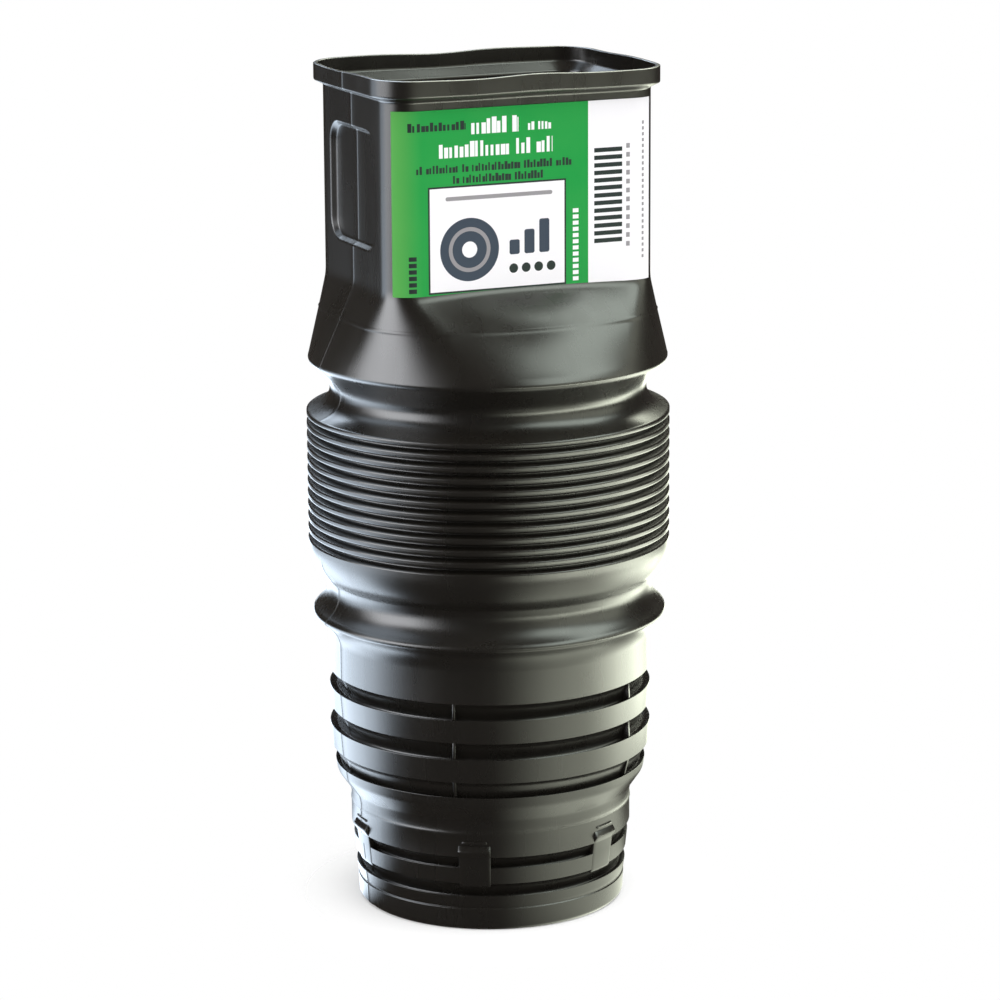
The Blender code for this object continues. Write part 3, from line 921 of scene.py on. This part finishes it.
def catch_section():
    """A face flush with the bead and the band, and a small hook at its top."""
    bottom, crown = CATCH_TOP - CATCH_LENGTH, CATCH_TOP + CATCH_CROWN
    root = SPIGOT_RADIUS - CATCH_SINK
    return [
        (bottom, root),
        (bottom, BAND_FOOT - CATCH_START),
        (BEAD_TOP, BAND_FOOT + CATCH_FLUSH),
        (BAND_LIP, BAND_RADIUS + CATCH_FLUSH),
        (BAND_TOP, SPIGOT_RADIUS - CATCH_FLUSH),
        (CATCH_TOP - CATCH_EDGE, CATCH_RADIUS),
        (CATCH_TOP, CATCH_RADIUS - CATCH_EDGE / 2),
        (crown, SPIGOT_RADIUS),
        (crown, root),
    ]


catch_block = arc_block("catch", catch_section(), CATCH_ANGLE, CATCH_STEPS)
catch_mesh = eased("catch", catch_block, CATCH_EASE)
catches = ring_of("spigot_catches", catch_mesh, CATCH_COUNT)

# %% A witness lip above each catch
LIP_ANGLE, LIP_TALL, LIP_PROUD, LIP_ABOVE_CATCH = math.radians(10), 0.0006, 0.00035, 0.0018
LIP_EASE, LIP_STEPS = 0.0001, 6


def lip_section():
    low = CATCH_TOP + LIP_ABOVE_CATCH
    outer, inner = SPIGOT_RADIUS + LIP_PROUD, SPIGOT_RADIUS - LIP_PROUD
    return [(low, inner), (low, outer), (low + LIP_TALL, outer - LIP_PROUD / 2), (low + LIP_TALL, inner)]


lip_mesh = eased("lip", arc_block("lip", lip_section(), LIP_ANGLE, LIP_STEPS), LIP_EASE)
lips = ring_of("witness_lips", lip_mesh, CATCH_COUNT)

# %% Short ribs across the faces of the barbs
RIB_FROM_FRONT, RIB_WIDTH = math.radians(36.2), math.radians(1.0)
RIB_INSET, RIB_ROOT, RIB_EASE, RIB_STEPS = 0.0003, 0.0012, 0.00012, 2


def rib_section(barb, lip_radius):
    """The outline of a rib that fills a barb's hollow from its floor to the edge above."""
    top = BARB_BASE + (barb + 1) * BARB_PITCH
    lip = top - BARB_FACE
    low, inner = lip - RIB_ROOT, HOLLOW_RADIUS + RIB_ROOT
    return [
        (low, inner), (low, lip_radius - RIB_ROOT), (lip, lip_radius - RIB_INSET),
        (top + RIB_INSET, BARB_FOOT), (top + RIB_INSET, inner),
    ]


def rib_pair(section):
    """Two ribs, one on each side of the front, joined in one mesh."""
    shape = bmesh.new()
    for side in (-1, 1):
        middle = -math.pi / 2 + side * RIB_FROM_FRONT
        shape.from_mesh(arc_block("rib", section, RIB_WIDTH, RIB_STEPS, middle))
    mesh = bpy.data.meshes.new("rib_pair")
    shape.to_mesh(mesh)
    shape.free()
    return mesh


def add_ribs(name, section, levels):
    return ring_of(name, eased(name, rib_pair(section), RIB_EASE), 2, levels)


low_ribs = add_ribs("low_ribs", rib_section(0, FIRST_BARB_RADIUS), 1)
high_ribs = add_ribs("high_ribs", rib_section(1, BARB_RADIUS), BARB_COUNT - 1)
for piece in (catches, lips, low_ribs, high_ribs):
    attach(piece, "root")

# %% [markdown]
# The label is a thin printed film, bent round the two front corners of the socket. A flat
# plane pushed onto the wall would float off at the corners, so the sheet is swept along the
# same rounded outline as the wall. Its own UV map is in label heights, which lets the print
# be laid out in millimetres from the lower left corner.

# %% The bent sheet of the label
LABEL_LOW, LABEL_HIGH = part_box("label")
LABEL_WIDTH, LABEL_SHIFT = 0.0762, -0.0009
LABEL_TALL = LABEL_HIGH[2] - LABEL_LOW[2]
FILM_INNER, FILM_OUTER = 0.00012, 0.00032
TURN_STEPS, FLAT_STEPS = 10, 16


def film_columns():
    """(distance from the left edge, x, y, outward x, outward y) along the sheet."""
    flat = SOCKET_SIDE_X / 2 - SOCKET_CORNER
    left = LABEL_WIDTH / 2 - LABEL_SHIFT - flat
    right = LABEL_WIDTH / 2 + LABEL_SHIFT - flat
    places = [left * step / TURN_STEPS for step in range(TURN_STEPS)]
    places += [left + 2 * flat * step / FLAT_STEPS for step in range(FLAT_STEPS)]
    places += [left + 2 * flat + right * step / TURN_STEPS for step in range(TURN_STEPS + 1)]
    columns = []
    for place in places:
        turn = 0.0
        middle = place - left - flat
        if abs(middle) > flat:
            turn = math.copysign((abs(middle) - flat) / SOCKET_CORNER, middle)
        centre = max(-flat, min(flat, middle))
        out_x, out_y = math.sin(turn), -math.cos(turn)
        y = -SOCKET_SIDE_Y / 2 + SOCKET_CORNER + SOCKET_CORNER * out_y
        columns.append((place, centre + SOCKET_CORNER * out_x, y, out_x, out_y))
    return columns


def label_sheet():
    points, faces, marks = [], [], []
    for place, x, y, out_x, out_y in film_columns():
        for gap, height in ((FILM_OUTER, 0), (FILM_OUTER, 1), (FILM_INNER, 1), (FILM_INNER, 0)):
            z = LABEL_LOW[2] + height * LABEL_TALL
            points.append((x + out_x * gap, y + out_y * gap, z))
            marks.append((place / LABEL_TALL, float(height)))
    for start in range(0, len(points) - 4, 4):
        for corner in range(4):
            after = (corner + 1) % 4
            faces.append((start + corner, start + 4 + corner, start + 4 + after, start + after))
    last = len(points) - 4
    faces += [(0, 1, 2, 3), (last + 3, last + 2, last + 1, last)]
    mesh = faces_outwards(new_mesh("label_film", points, faces))
    layer = mesh.uv_layers.new(name="print")
    for loop in mesh.loops:
        layer.data[loop.index].uv = marks[loop.vertex_index]
    return put_in_scene("label_film", smooth_to_edges(mesh))


film = label_sheet()
print("label", round(LABEL_WIDTH * 1000, 1), "by", round(LABEL_TALL * 1000, 1), "mm")

# %% [markdown]
# The print is fields of flat colour: a green ground, a white strip at the right, a white
# panel with a dark outline, and plain strokes where lines of print would be. Every shape is
# a rounded rectangle, a ring or a row of strokes, so three small node groups with sizes in
# millimetres are enough, and they are laid on one after another. Nothing is lettered.

# %% Node groups for printed shapes
EDGE_HOLD = 0.001
STROKE_FILL, STROKE_GAP, STROKE_TALL = (0.45, 0.95), 0.12, (0.68, 1.0)


def print_group(name, *labels):
    """A shader group that gives a mask, with a position in millimetres as its first input."""
    inputs = [("Place", "NodeSocketVector")] + [(label, FLOAT) for label in labels]
    return new_group("ShaderNodeTree", name, inputs, ("Mask", FLOAT))


def block_group():
    """Inside a rounded rectangle."""
    kit, given, out = print_group("print_block", "Left", "Right", "Low", "High", "Corner")
    parts = kit.parts(given["Place"])
    reach = []
    for axis, low, high in (("X", "Left", "Right"), ("Y", "Low", "High")):
        middle = kit.math("MULTIPLY", kit.math("ADD", given[low], given[high]), 0.5)
        half = kit.math("MULTIPLY", kit.math("SUBTRACT", given[high], given[low]), 0.5)
        flat = kit.math("SUBTRACT", half, given["Corner"])
        away = kit.math("ABSOLUTE", kit.math("SUBTRACT", parts[axis], middle))
        reach.append(kit.math("MAXIMUM", kit.math("SUBTRACT", away, flat), 0.0))
    far = kit.vector("LENGTH", kit.joined(*reach))
    edge = kit.math("ADD", given["Corner"], EDGE_HOLD)
    kit.feed(out, {0: kit.math("LESS_THAN", far, edge)})
    return kit.tree


def ring_group():
    """Inside a flat ring, or a disc when its inner radius is 0."""
    kit, given, out = print_group("print_ring", "Across", "Up", "Inner", "Outer")
    centre = kit.joined(given["Across"], given["Up"])
    away = kit.vector("LENGTH", kit.vector("SUBTRACT", given["Place"], centre))
    inside = kit.math("LESS_THAN", away, given["Outer"])
    outside = kit.math("GREATER_THAN", away, given["Inner"])
    kit.feed(out, {0: kit.math("MULTIPLY", inside, outside)})
    return kit.tree


def strokes_group():
    """Short upright strokes of uneven width and height in a row, as print looks from afar."""
    kit, given, out = print_group("print_strokes", "Left", "Right", "Low", "High", "Pitch", "Seed")
    parts = kit.parts(given["Place"])
    steps = kit.math("DIVIDE", kit.math("SUBTRACT", parts["X"], given["Left"]), given["Pitch"])
    cell = kit.math("ADD", kit.math("FLOOR", steps), given["Seed"])
    chance = kit.add("ShaderNodeTexWhiteNoise", {"W": cell}, noise_dimensions="1D").outputs
    pick = kit.add("ShaderNodeSeparateColor", {0: chance["Color"]}).outputs
    fill = kit.ramp(pick[0], 0.0, 1.0, *STROKE_FILL, kind="LINEAR")
    drawn = kit.math("LESS_THAN", kit.math("FRACT", steps), fill)
    drawn = kit.math("MULTIPLY", drawn, kit.math("GREATER_THAN", pick[1], STROKE_GAP))
    tall = kit.ramp(pick[2], NOISE_LOW, NOISE_HIGH, *STROKE_TALL, kind="LINEAR")
    top = kit.math("MULTIPLY_ADD", kit.math("SUBTRACT", given["High"], given["Low"]), tall, given["Low"])
    for axis, low, high in (("X", given["Left"], given["Right"]), ("Y", given["Low"], top)):
        drawn = kit.math("MULTIPLY", drawn, kit.math("GREATER_THAN", parts[axis], low))
        drawn = kit.math("MULTIPLY", drawn, kit.math("LESS_THAN", parts[axis], high))
    kit.feed(out, {0: drawn})
    return kit.tree


BLOCK, DISC, STROKES = block_group(), ring_group(), strokes_group()

# %% Laying shapes on the label
GREEN, LIGHT_GREEN, WHITE = (0.010, 0.290, 0.055, 1), (0.120, 0.420, 0.090, 1), (0.90, 0.89, 0.91, 1)
INK, SLATE, GREY = (0.020, 0.030, 0.028, 1), (0.045, 0.060, 0.085, 1), (0.30, 0.29, 0.30, 1)


class Press:
    """Lays one printed shape after another on a ground colour."""

    def __init__(self, kit, place, ground):
        self.kit, self.place, self.colour = kit, place, ground

    def lay(self, group, sizes, colour):
        """Lays on one shape, with its sizes in the order of the group's inputs."""
        inputs = dict(enumerate((self.place, *sizes)))
        mask = self.kit.first("ShaderNodeGroup", inputs, node_tree=group)
        self.colour = mix(self.kit, mask, self.colour, colour)

    def stack(self, across, width, low, height, gap, count, colour):
        """A column of plain bars."""
        for _ in range(count):
            self.lay(BLOCK, (across, across + width, low, low + height, 0.0), colour)
            low += height + gap


# %% What is printed where, in millimetres from the lower left corner
FRONT_START = (LABEL_WIDTH / 2 - LABEL_SHIFT) * 1000
PANEL_LEFT, PANEL_RIGHT = FRONT_START - 28.6, FRONT_START + 10.9
PANEL_LOW, PANEL_HIGH = 0.9, 28.9
STRIP_LEFT, STRIP_BLEED = FRONT_START + 18.0, 1
OUTLINE, PANEL_MARGIN = 0.5, 2.4
TARGET_ACROSS, TARGET_RADIUS = 11.5, 8.6
TARGET_RINGS = [(0.0, TARGET_RADIUS, SLATE), (5.0, 6.1, GREY), (0.0, 2.2, WHITE)]
DOT_COUNT, DOT_ACROSS, DOT_PITCH, DOT_UP, DOT_RADIUS = 4, 24.4, 3.7, 2.6, 1.3
BAR_COUNT, BAR_ACROSS, BAR_PITCH, BAR_WIDTH = 3, 23.2, 4.4, 3.0
BAR_LOW, BAR_HIGH, BAR_GROWTH, BAR_CORNER = 6.4, 10.4, 2.6, 0.6
RULE_LEFT, RULE_RIGHT, RULE_WIDTH, RULE_CORNER = 4.6, 3.6, 1.1, 0.5
HEADINGS = [
    (-34.6, -18.0, 44.4, 46.8, 1.25, 3.0, INK),
    (-16.4, -2.6, 43.0, 47.4, 1.50, 11.0, WHITE),
    (-0.8, 7.0, 43.2, 45.4, 1.00, 23.0, WHITE),
    (-25.8, 7.4, 37.0, 41.2, 1.50, 31.0, WHITE),
    (-32.4, 13.2, 33.0, 35.2, 0.95, 47.0, INK),
    (-21.8, 5.2, 30.0, 32.2, 0.95, 61.0, INK),
]
STACKS = [
    (19.8, 8.4, 11.0, 1.2, 0.87, 13, INK),
    (29.4, 1.1, 9.6, 1.3, 1.15, 12, GREY),
    (34.2, 0.7, 6.0, 0.9, 0.70, 24, GREY),
    (13.4, 1.7, 1.2, 1.1, 0.60, 12, WHITE),
    (-34.6, 2.1, 1.0, 1.2, 0.55, 6, INK),
]


def print_lines(press):
    """Lines of plain strokes, all of them meaningless."""
    for left, right, low, high, pitch, seed, colour in HEADINGS:
        press.lay(STROKES, (FRONT_START + left, FRONT_START + right, low, high, pitch, seed), colour)


def print_panel(press):
    """A white picture panel with a plain picture of rings, dots and bars."""
    outer = (PANEL_LEFT - OUTLINE, PANEL_RIGHT + OUTLINE, PANEL_LOW - OUTLINE, PANEL_HIGH + OUTLINE, 0.0)
    press.lay(BLOCK, outer, INK)
    press.lay(BLOCK, (PANEL_LEFT, PANEL_RIGHT, PANEL_LOW, PANEL_HIGH, 0.0), WHITE)
    low, high = PANEL_LOW + PANEL_MARGIN, PANEL_HIGH - PANEL_MARGIN
    for inner, outer, colour in TARGET_RINGS:
        press.lay(DISC, (PANEL_LEFT + TARGET_ACROSS, low + TARGET_RADIUS, inner, outer), colour)
    for step in range(DOT_COUNT):
        across = PANEL_LEFT + DOT_ACROSS + DOT_PITCH * step
        press.lay(DISC, (across, low + DOT_UP, 0.0, DOT_RADIUS), INK)
    for step in range(BAR_COUNT):
        left, top = PANEL_LEFT + BAR_ACROSS + BAR_PITCH * step, low + BAR_HIGH + BAR_GROWTH * step
        press.lay(BLOCK, (left, left + BAR_WIDTH, low + BAR_LOW, top, BAR_CORNER), SLATE)
    rule = (PANEL_LEFT + RULE_LEFT, PANEL_RIGHT - RULE_RIGHT, high - RULE_WIDTH, high, RULE_CORNER)
    press.lay(BLOCK, rule, GREY)


def print_strips(press):
    """The white strip, which runs past three edges, with a block of even bars, and small marks."""
    right, high = LABEL_WIDTH * 1000 + STRIP_BLEED, LABEL_TALL * 1000 + STRIP_BLEED
    press.lay(BLOCK, (STRIP_LEFT, right, -STRIP_BLEED, high, 0.0), WHITE)
    for across, *sizes in STACKS:
        press.stack(FRONT_START + across, *sizes)


# %% The printed film as a material
# Width in mm and strength of the painted highlight along the label's left edge, then the film's own blots
# and shine
SHEEN_WIDTH, SHEEN_SHARE, BLOT_SHARE, BLOT_SCALE, BLOT_DETAIL = 9.0, 0.75, 0.14, 90.0, 3.0
FILM_SHINE_LOW, FILM_SHINE_HIGH, FILM_SHINE = 0.30, 0.42, 0.12
FILM_RELIEF, FILM_DISTANCE = 0.10, 0.0001


def label_print():
    material, kit, shader = new_material("label_print")
    marks = kit.first("ShaderNodeUVMap", uv_map="print")
    place = kit.scaled(marks, LABEL_TALL * 1000)
    blot = noise(kit, own_place(kit), BLOT_SCALE, BLOT_DETAIL)
    # Painted highlight: the green ground turns lighter over its first millimetres from the left edge,
    # where the film bends round the front-left corner. This stands in for light caught from the left. The
    # blots added to it are random tone of the film.
    painted_sheen = kit.math("MULTIPLY", kit.ramp(kit.parts(place)["X"], SHEEN_WIDTH, 0.0), SHEEN_SHARE)
    blots_and_sheen = kit.math("MULTIPLY_ADD", blot, BLOT_SHARE, painted_sheen)
    press = Press(kit, place, mix(kit, blots_and_sheen, GREEN, LIGHT_GREEN))
    print_lines(press)
    print_panel(press)
    print_strips(press)
    kit.feed(shader, {
        "Base Color": press.colour,
        "Roughness": kit.ramp(blot, NOISE_LOW, NOISE_HIGH, FILM_SHINE_LOW, FILM_SHINE_HIGH, kind="LINEAR"),
        "Normal": bump(kit, blot, FILM_RELIEF, FILM_DISTANCE),
        "Specular IOR Level": FILM_SHINE,
    })
    return material


film.data.materials.append(label_print())
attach(film, "root")
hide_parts("label")

# %% [markdown]
# The camera stands about 1.1 m away, a little above the object and to its left, with a
# long lens. These values were fitted to the rims and ridges seen from there. The axes are
# built from the azimuth and elevation, turned by a small roll, and the lens follows from
# the focal length in pixels of a picture 1000 pixels wide.

# %% Camera
CAMERA_TURN, CAMERA_RISE, CAMERA_ROLL = math.radians(-23.517), math.radians(13.106), math.radians(-0.328)
CAMERA_DISTANCE, AIM_HEIGHT, AIM_SIDE = 1.112581, 0.1143, 0.003183
FOCAL_PIXELS, PICTURE_PIXELS, SENSOR = 3956.619, 1000, 36.0


def add_camera():
    cos_rise, sin_rise = math.cos(CAMERA_RISE), math.sin(CAMERA_RISE)
    back = Vector((math.sin(CAMERA_TURN) * cos_rise, -math.cos(CAMERA_TURN) * cos_rise, sin_rise))
    right = Vector((math.cos(CAMERA_TURN), math.sin(CAMERA_TURN), 0))
    up = back.cross(right)
    aim = Vector((0, 0, AIM_HEIGHT)) + right * AIM_SIDE
    lean, level = math.sin(CAMERA_ROLL), math.cos(CAMERA_ROLL)
    rolled_right, rolled_up = right * level + up * lean, up * level - right * lean
    data = bpy.data.cameras.new("camera")
    data.sensor_width = SENSOR
    data.lens = FOCAL_PIXELS * SENSOR / PICTURE_PIXELS
    camera = put_in_scene("camera", data)
    axes = Matrix((rolled_right, rolled_up, back)).transposed()
    camera.matrix_world = Matrix.Translation(aim + back * CAMERA_DISTANCE) @ axes.to_4x4()
    bpy.context.scene.camera = camera
    return camera


camera = add_camera()
print("lens", round(camera.data.lens, 2), "mm")

# %% [markdown]
# Black plastic is lit by what it reflects, so the studio is planned as what the plastic
# sees. In front of it everything is dark card. Soft walls of light stand to the right, to
# the left and behind, and the table has lit arcs of its own, with a dimmer horizon between.
# All of this is drawn in the world and on the floor by compass direction and height, seen
# only by reflections. The colours themselves get an even, plain level of light, and the
# camera sees plain white behind the object.

# %% Arcs of light: compass degrees from the camera, degrees up or metres out, light and tint
ROOM_LEVEL = 0.93
CARD_LEVEL = (0.060, 0.052, 0.045)
WARM, MINT, COOL, PALE = (1.01, 1.06, 0.87), (0.94, 1.05, 0.95), (0.86, 1.00, 1.16), (0.98, 1.00, 1.04)
WALLS = [
    ((12, 60, 98, 114), (-5, 7, 22, 34), 1.8, WARM),
    ((24, 50, 104, 120), (28, 40, 53, 62), 5.4, MINT),
    ((98, 112, 130, 146), (46, 56, 66, 73), 5.5, MINT),
    ((140, 154, 181, 182), (22, 33, 50, 60), 9.0, WARM),
    ((-182, -181, -150, -132), (22, 33, 50, 60), 9.0, COOL),
    ((-102, -82, -60, -32), (-18, 2, 24, 38), 7.5, PALE),
    ((-132, -112, -86, -66), (28, 40, 52, 64), 2.5, COOL),
    ((-126, -112, -98, -80), (-13, -10, -6, 0), 3.0, COOL),
]
TABLE_END = (0.75, 1.0)
TABLE = [
    ((0, 56, 90, 130), (0.00, 0.03, 0.14, 0.30), 2.2, WARM),
    ((5, 78, 110, 150), (0.12, 0.28, 0.46, 0.64), 1.8, WARM),
    ((60, 104, 126, 154), (0.08, 0.24, 0.34, 0.48), 6.0, WARM),
    ((0, 56, 96, 130), (0.30, 0.46, 0.72, 0.82), 9.4, WARM),
    ((-146, -112, -92, -64), (0.00, 0.03, 0.14, 0.30), 4.6, COOL),
    ((-168, -126, -98, -50), (0.06, 0.30, 0.36, 0.50), 6.0, COOL),
    ((-136, -98, -86, -44), (0.36, 0.50, 0.72, 0.82), 5.0, COOL),
    ((140, 156, 181, 182), (0.10, 0.17, 0.45, 0.70), 4.5, WARM),
    ((-182, -181, -158, -140), (0.10, 0.17, 0.45, 0.70), 4.5, COOL),
]


def between_marks(kit, value, marks):
    """1 between the two inner marks, easing to 0 at the outer two."""
    rise, fall = kit.ramp(value, *marks[:2]), kit.ramp(value, *marks[2:], 1.0, 0.0)
    return kit.math("MULTIPLY", rise, fall)


def compass(kit, direction):
    """Degrees from the camera's side, positive to the right as the camera sees it."""
    sine, cosine = math.sin(CAMERA_TURN), math.cos(CAMERA_TURN)
    along = kit.vector("DOT_PRODUCT", direction, (sine, -cosine, 0))
    across = kit.vector("DOT_PRODUCT", direction, (cosine, sine, 0))
    return kit.math("DEGREES", kit.math("ARCTAN2", across, along))


def arcs_of_light(kit, turn, height, arcs):
    """The sum of soft arcs, each with its own strength and tint, on the dark card."""
    total = CARD_LEVEL
    for turns, heights, light, tint in arcs:
        inside = kit.math("MULTIPLY", between_marks(kit, turn, turns), between_marks(kit, height, heights))
        colour = tuple(light * part for part in tint)
        total = kit.vector("ADD", kit.scaled(colour, inside), total)
    return total


print("arcs of light:", len(WALLS), "on the walls,", len(TABLE), "on the table")

# %% The world
WHITE_LIGHT = (1.0, 1.0, 1.0, 1.0)
ROOM_LIGHT = (ROOM_LEVEL, ROOM_LEVEL, ROOM_LEVEL, 1.0)


def add_world():
    world = bpy.data.worlds.new("studio")
    bpy.context.scene.world = world
    world.use_nodes = True
    world.node_tree.nodes.clear()
    kit = Tree(world.node_tree)
    ray = kit.vector("NORMALIZE", kit.add("ShaderNodeTexCoord").outputs["Generated"])
    rise = kit.math("DEGREES", kit.math("ARCSINE", kit.parts(ray)["Z"]))
    shine = arcs_of_light(kit, compass(kit, ray), rise, WALLS)
    path = kit.add("ShaderNodeLightPath").outputs
    room = mix(kit, path["Is Glossy Ray"], ROOM_LIGHT, shine)
    seen = mix(kit, path["Is Camera Ray"], room, WHITE_LIGHT)
    glow = kit.first("ShaderNodeBackground", {"Color": seen, "Strength": 1.0})
    kit.add("ShaderNodeOutputWorld", {"Surface": glow})


add_world()

# %% A pale floor that fades into the white room, and the lit table that reflections see
FLOOR_SIZE, FLOOR_SOLID, FLOOR_GONE = 2.4, 0.02, 0.07
FLOOR_COLOUR = (0.97, 0.97, 0.97, 1)


def floor_finish():
    material, kit, _ = new_material("pale_floor")
    kit.tree.nodes.clear()
    place = own_place(kit)
    away = kit.vector("LENGTH", place)
    clear = kit.first("ShaderNodeBsdfTransparent")
    pale = kit.first("ShaderNodeBsdfDiffuse", {"Color": FLOOR_COLOUR})
    solid = kit.ramp(away, FLOOR_SOLID, FLOOR_GONE, 1.0, 0.0)
    plain = kit.first("ShaderNodeMixShader", {0: solid, 1: clear, 2: pale})
    light = arcs_of_light(kit, compass(kit, place), away, TABLE)
    glow = kit.first("ShaderNodeEmission", {"Color": light})
    near = kit.ramp(away, *TABLE_END, 1.0, 0.0)
    table = kit.first("ShaderNodeMixShader", {0: near, 1: clear, 2: glow})
    shiny = kit.add("ShaderNodeLightPath").outputs["Is Glossy Ray"]
    both = kit.first("ShaderNodeMixShader", {0: shiny, 1: plain, 2: table})
    kit.add("ShaderNodeOutputMaterial", {"Surface": both})
    return material


def add_floor():
    half = FLOOR_SIZE / 2
    corners = [(-half, -half, 0), (half, -half, 0), (half, half, 0), (-half, half, 0)]
    mesh = new_mesh("floor", corners, [(0, 1, 2, 3)])
    mesh.materials.append(floor_finish())
    put_in_scene("floor", mesh)


add_floor()

# %% A soft lamp overhead
LAMP_PLACE, LAMP_AIM = Vector((0.10, -0.30, 1.4)), Vector((0, 0, 0.1))
LAMP_SIZE, LAMP_POWER = 1.1, 18.0


def add_lamp():
    data = bpy.data.lights.new("overhead", "AREA")
    data.size = LAMP_SIZE
    data.energy = LAMP_POWER
    lamp = put_in_scene("overhead", data)
    lamp.location = LAMP_PLACE
    lamp.rotation_euler = (LAMP_PLACE - LAMP_AIM).to_track_quat("Z", "Y").to_euler()
    lamp.visible_camera = False
    lamp.visible_glossy = False


add_lamp()
bpy.context.scene.view_settings.view_transform = "Standard"
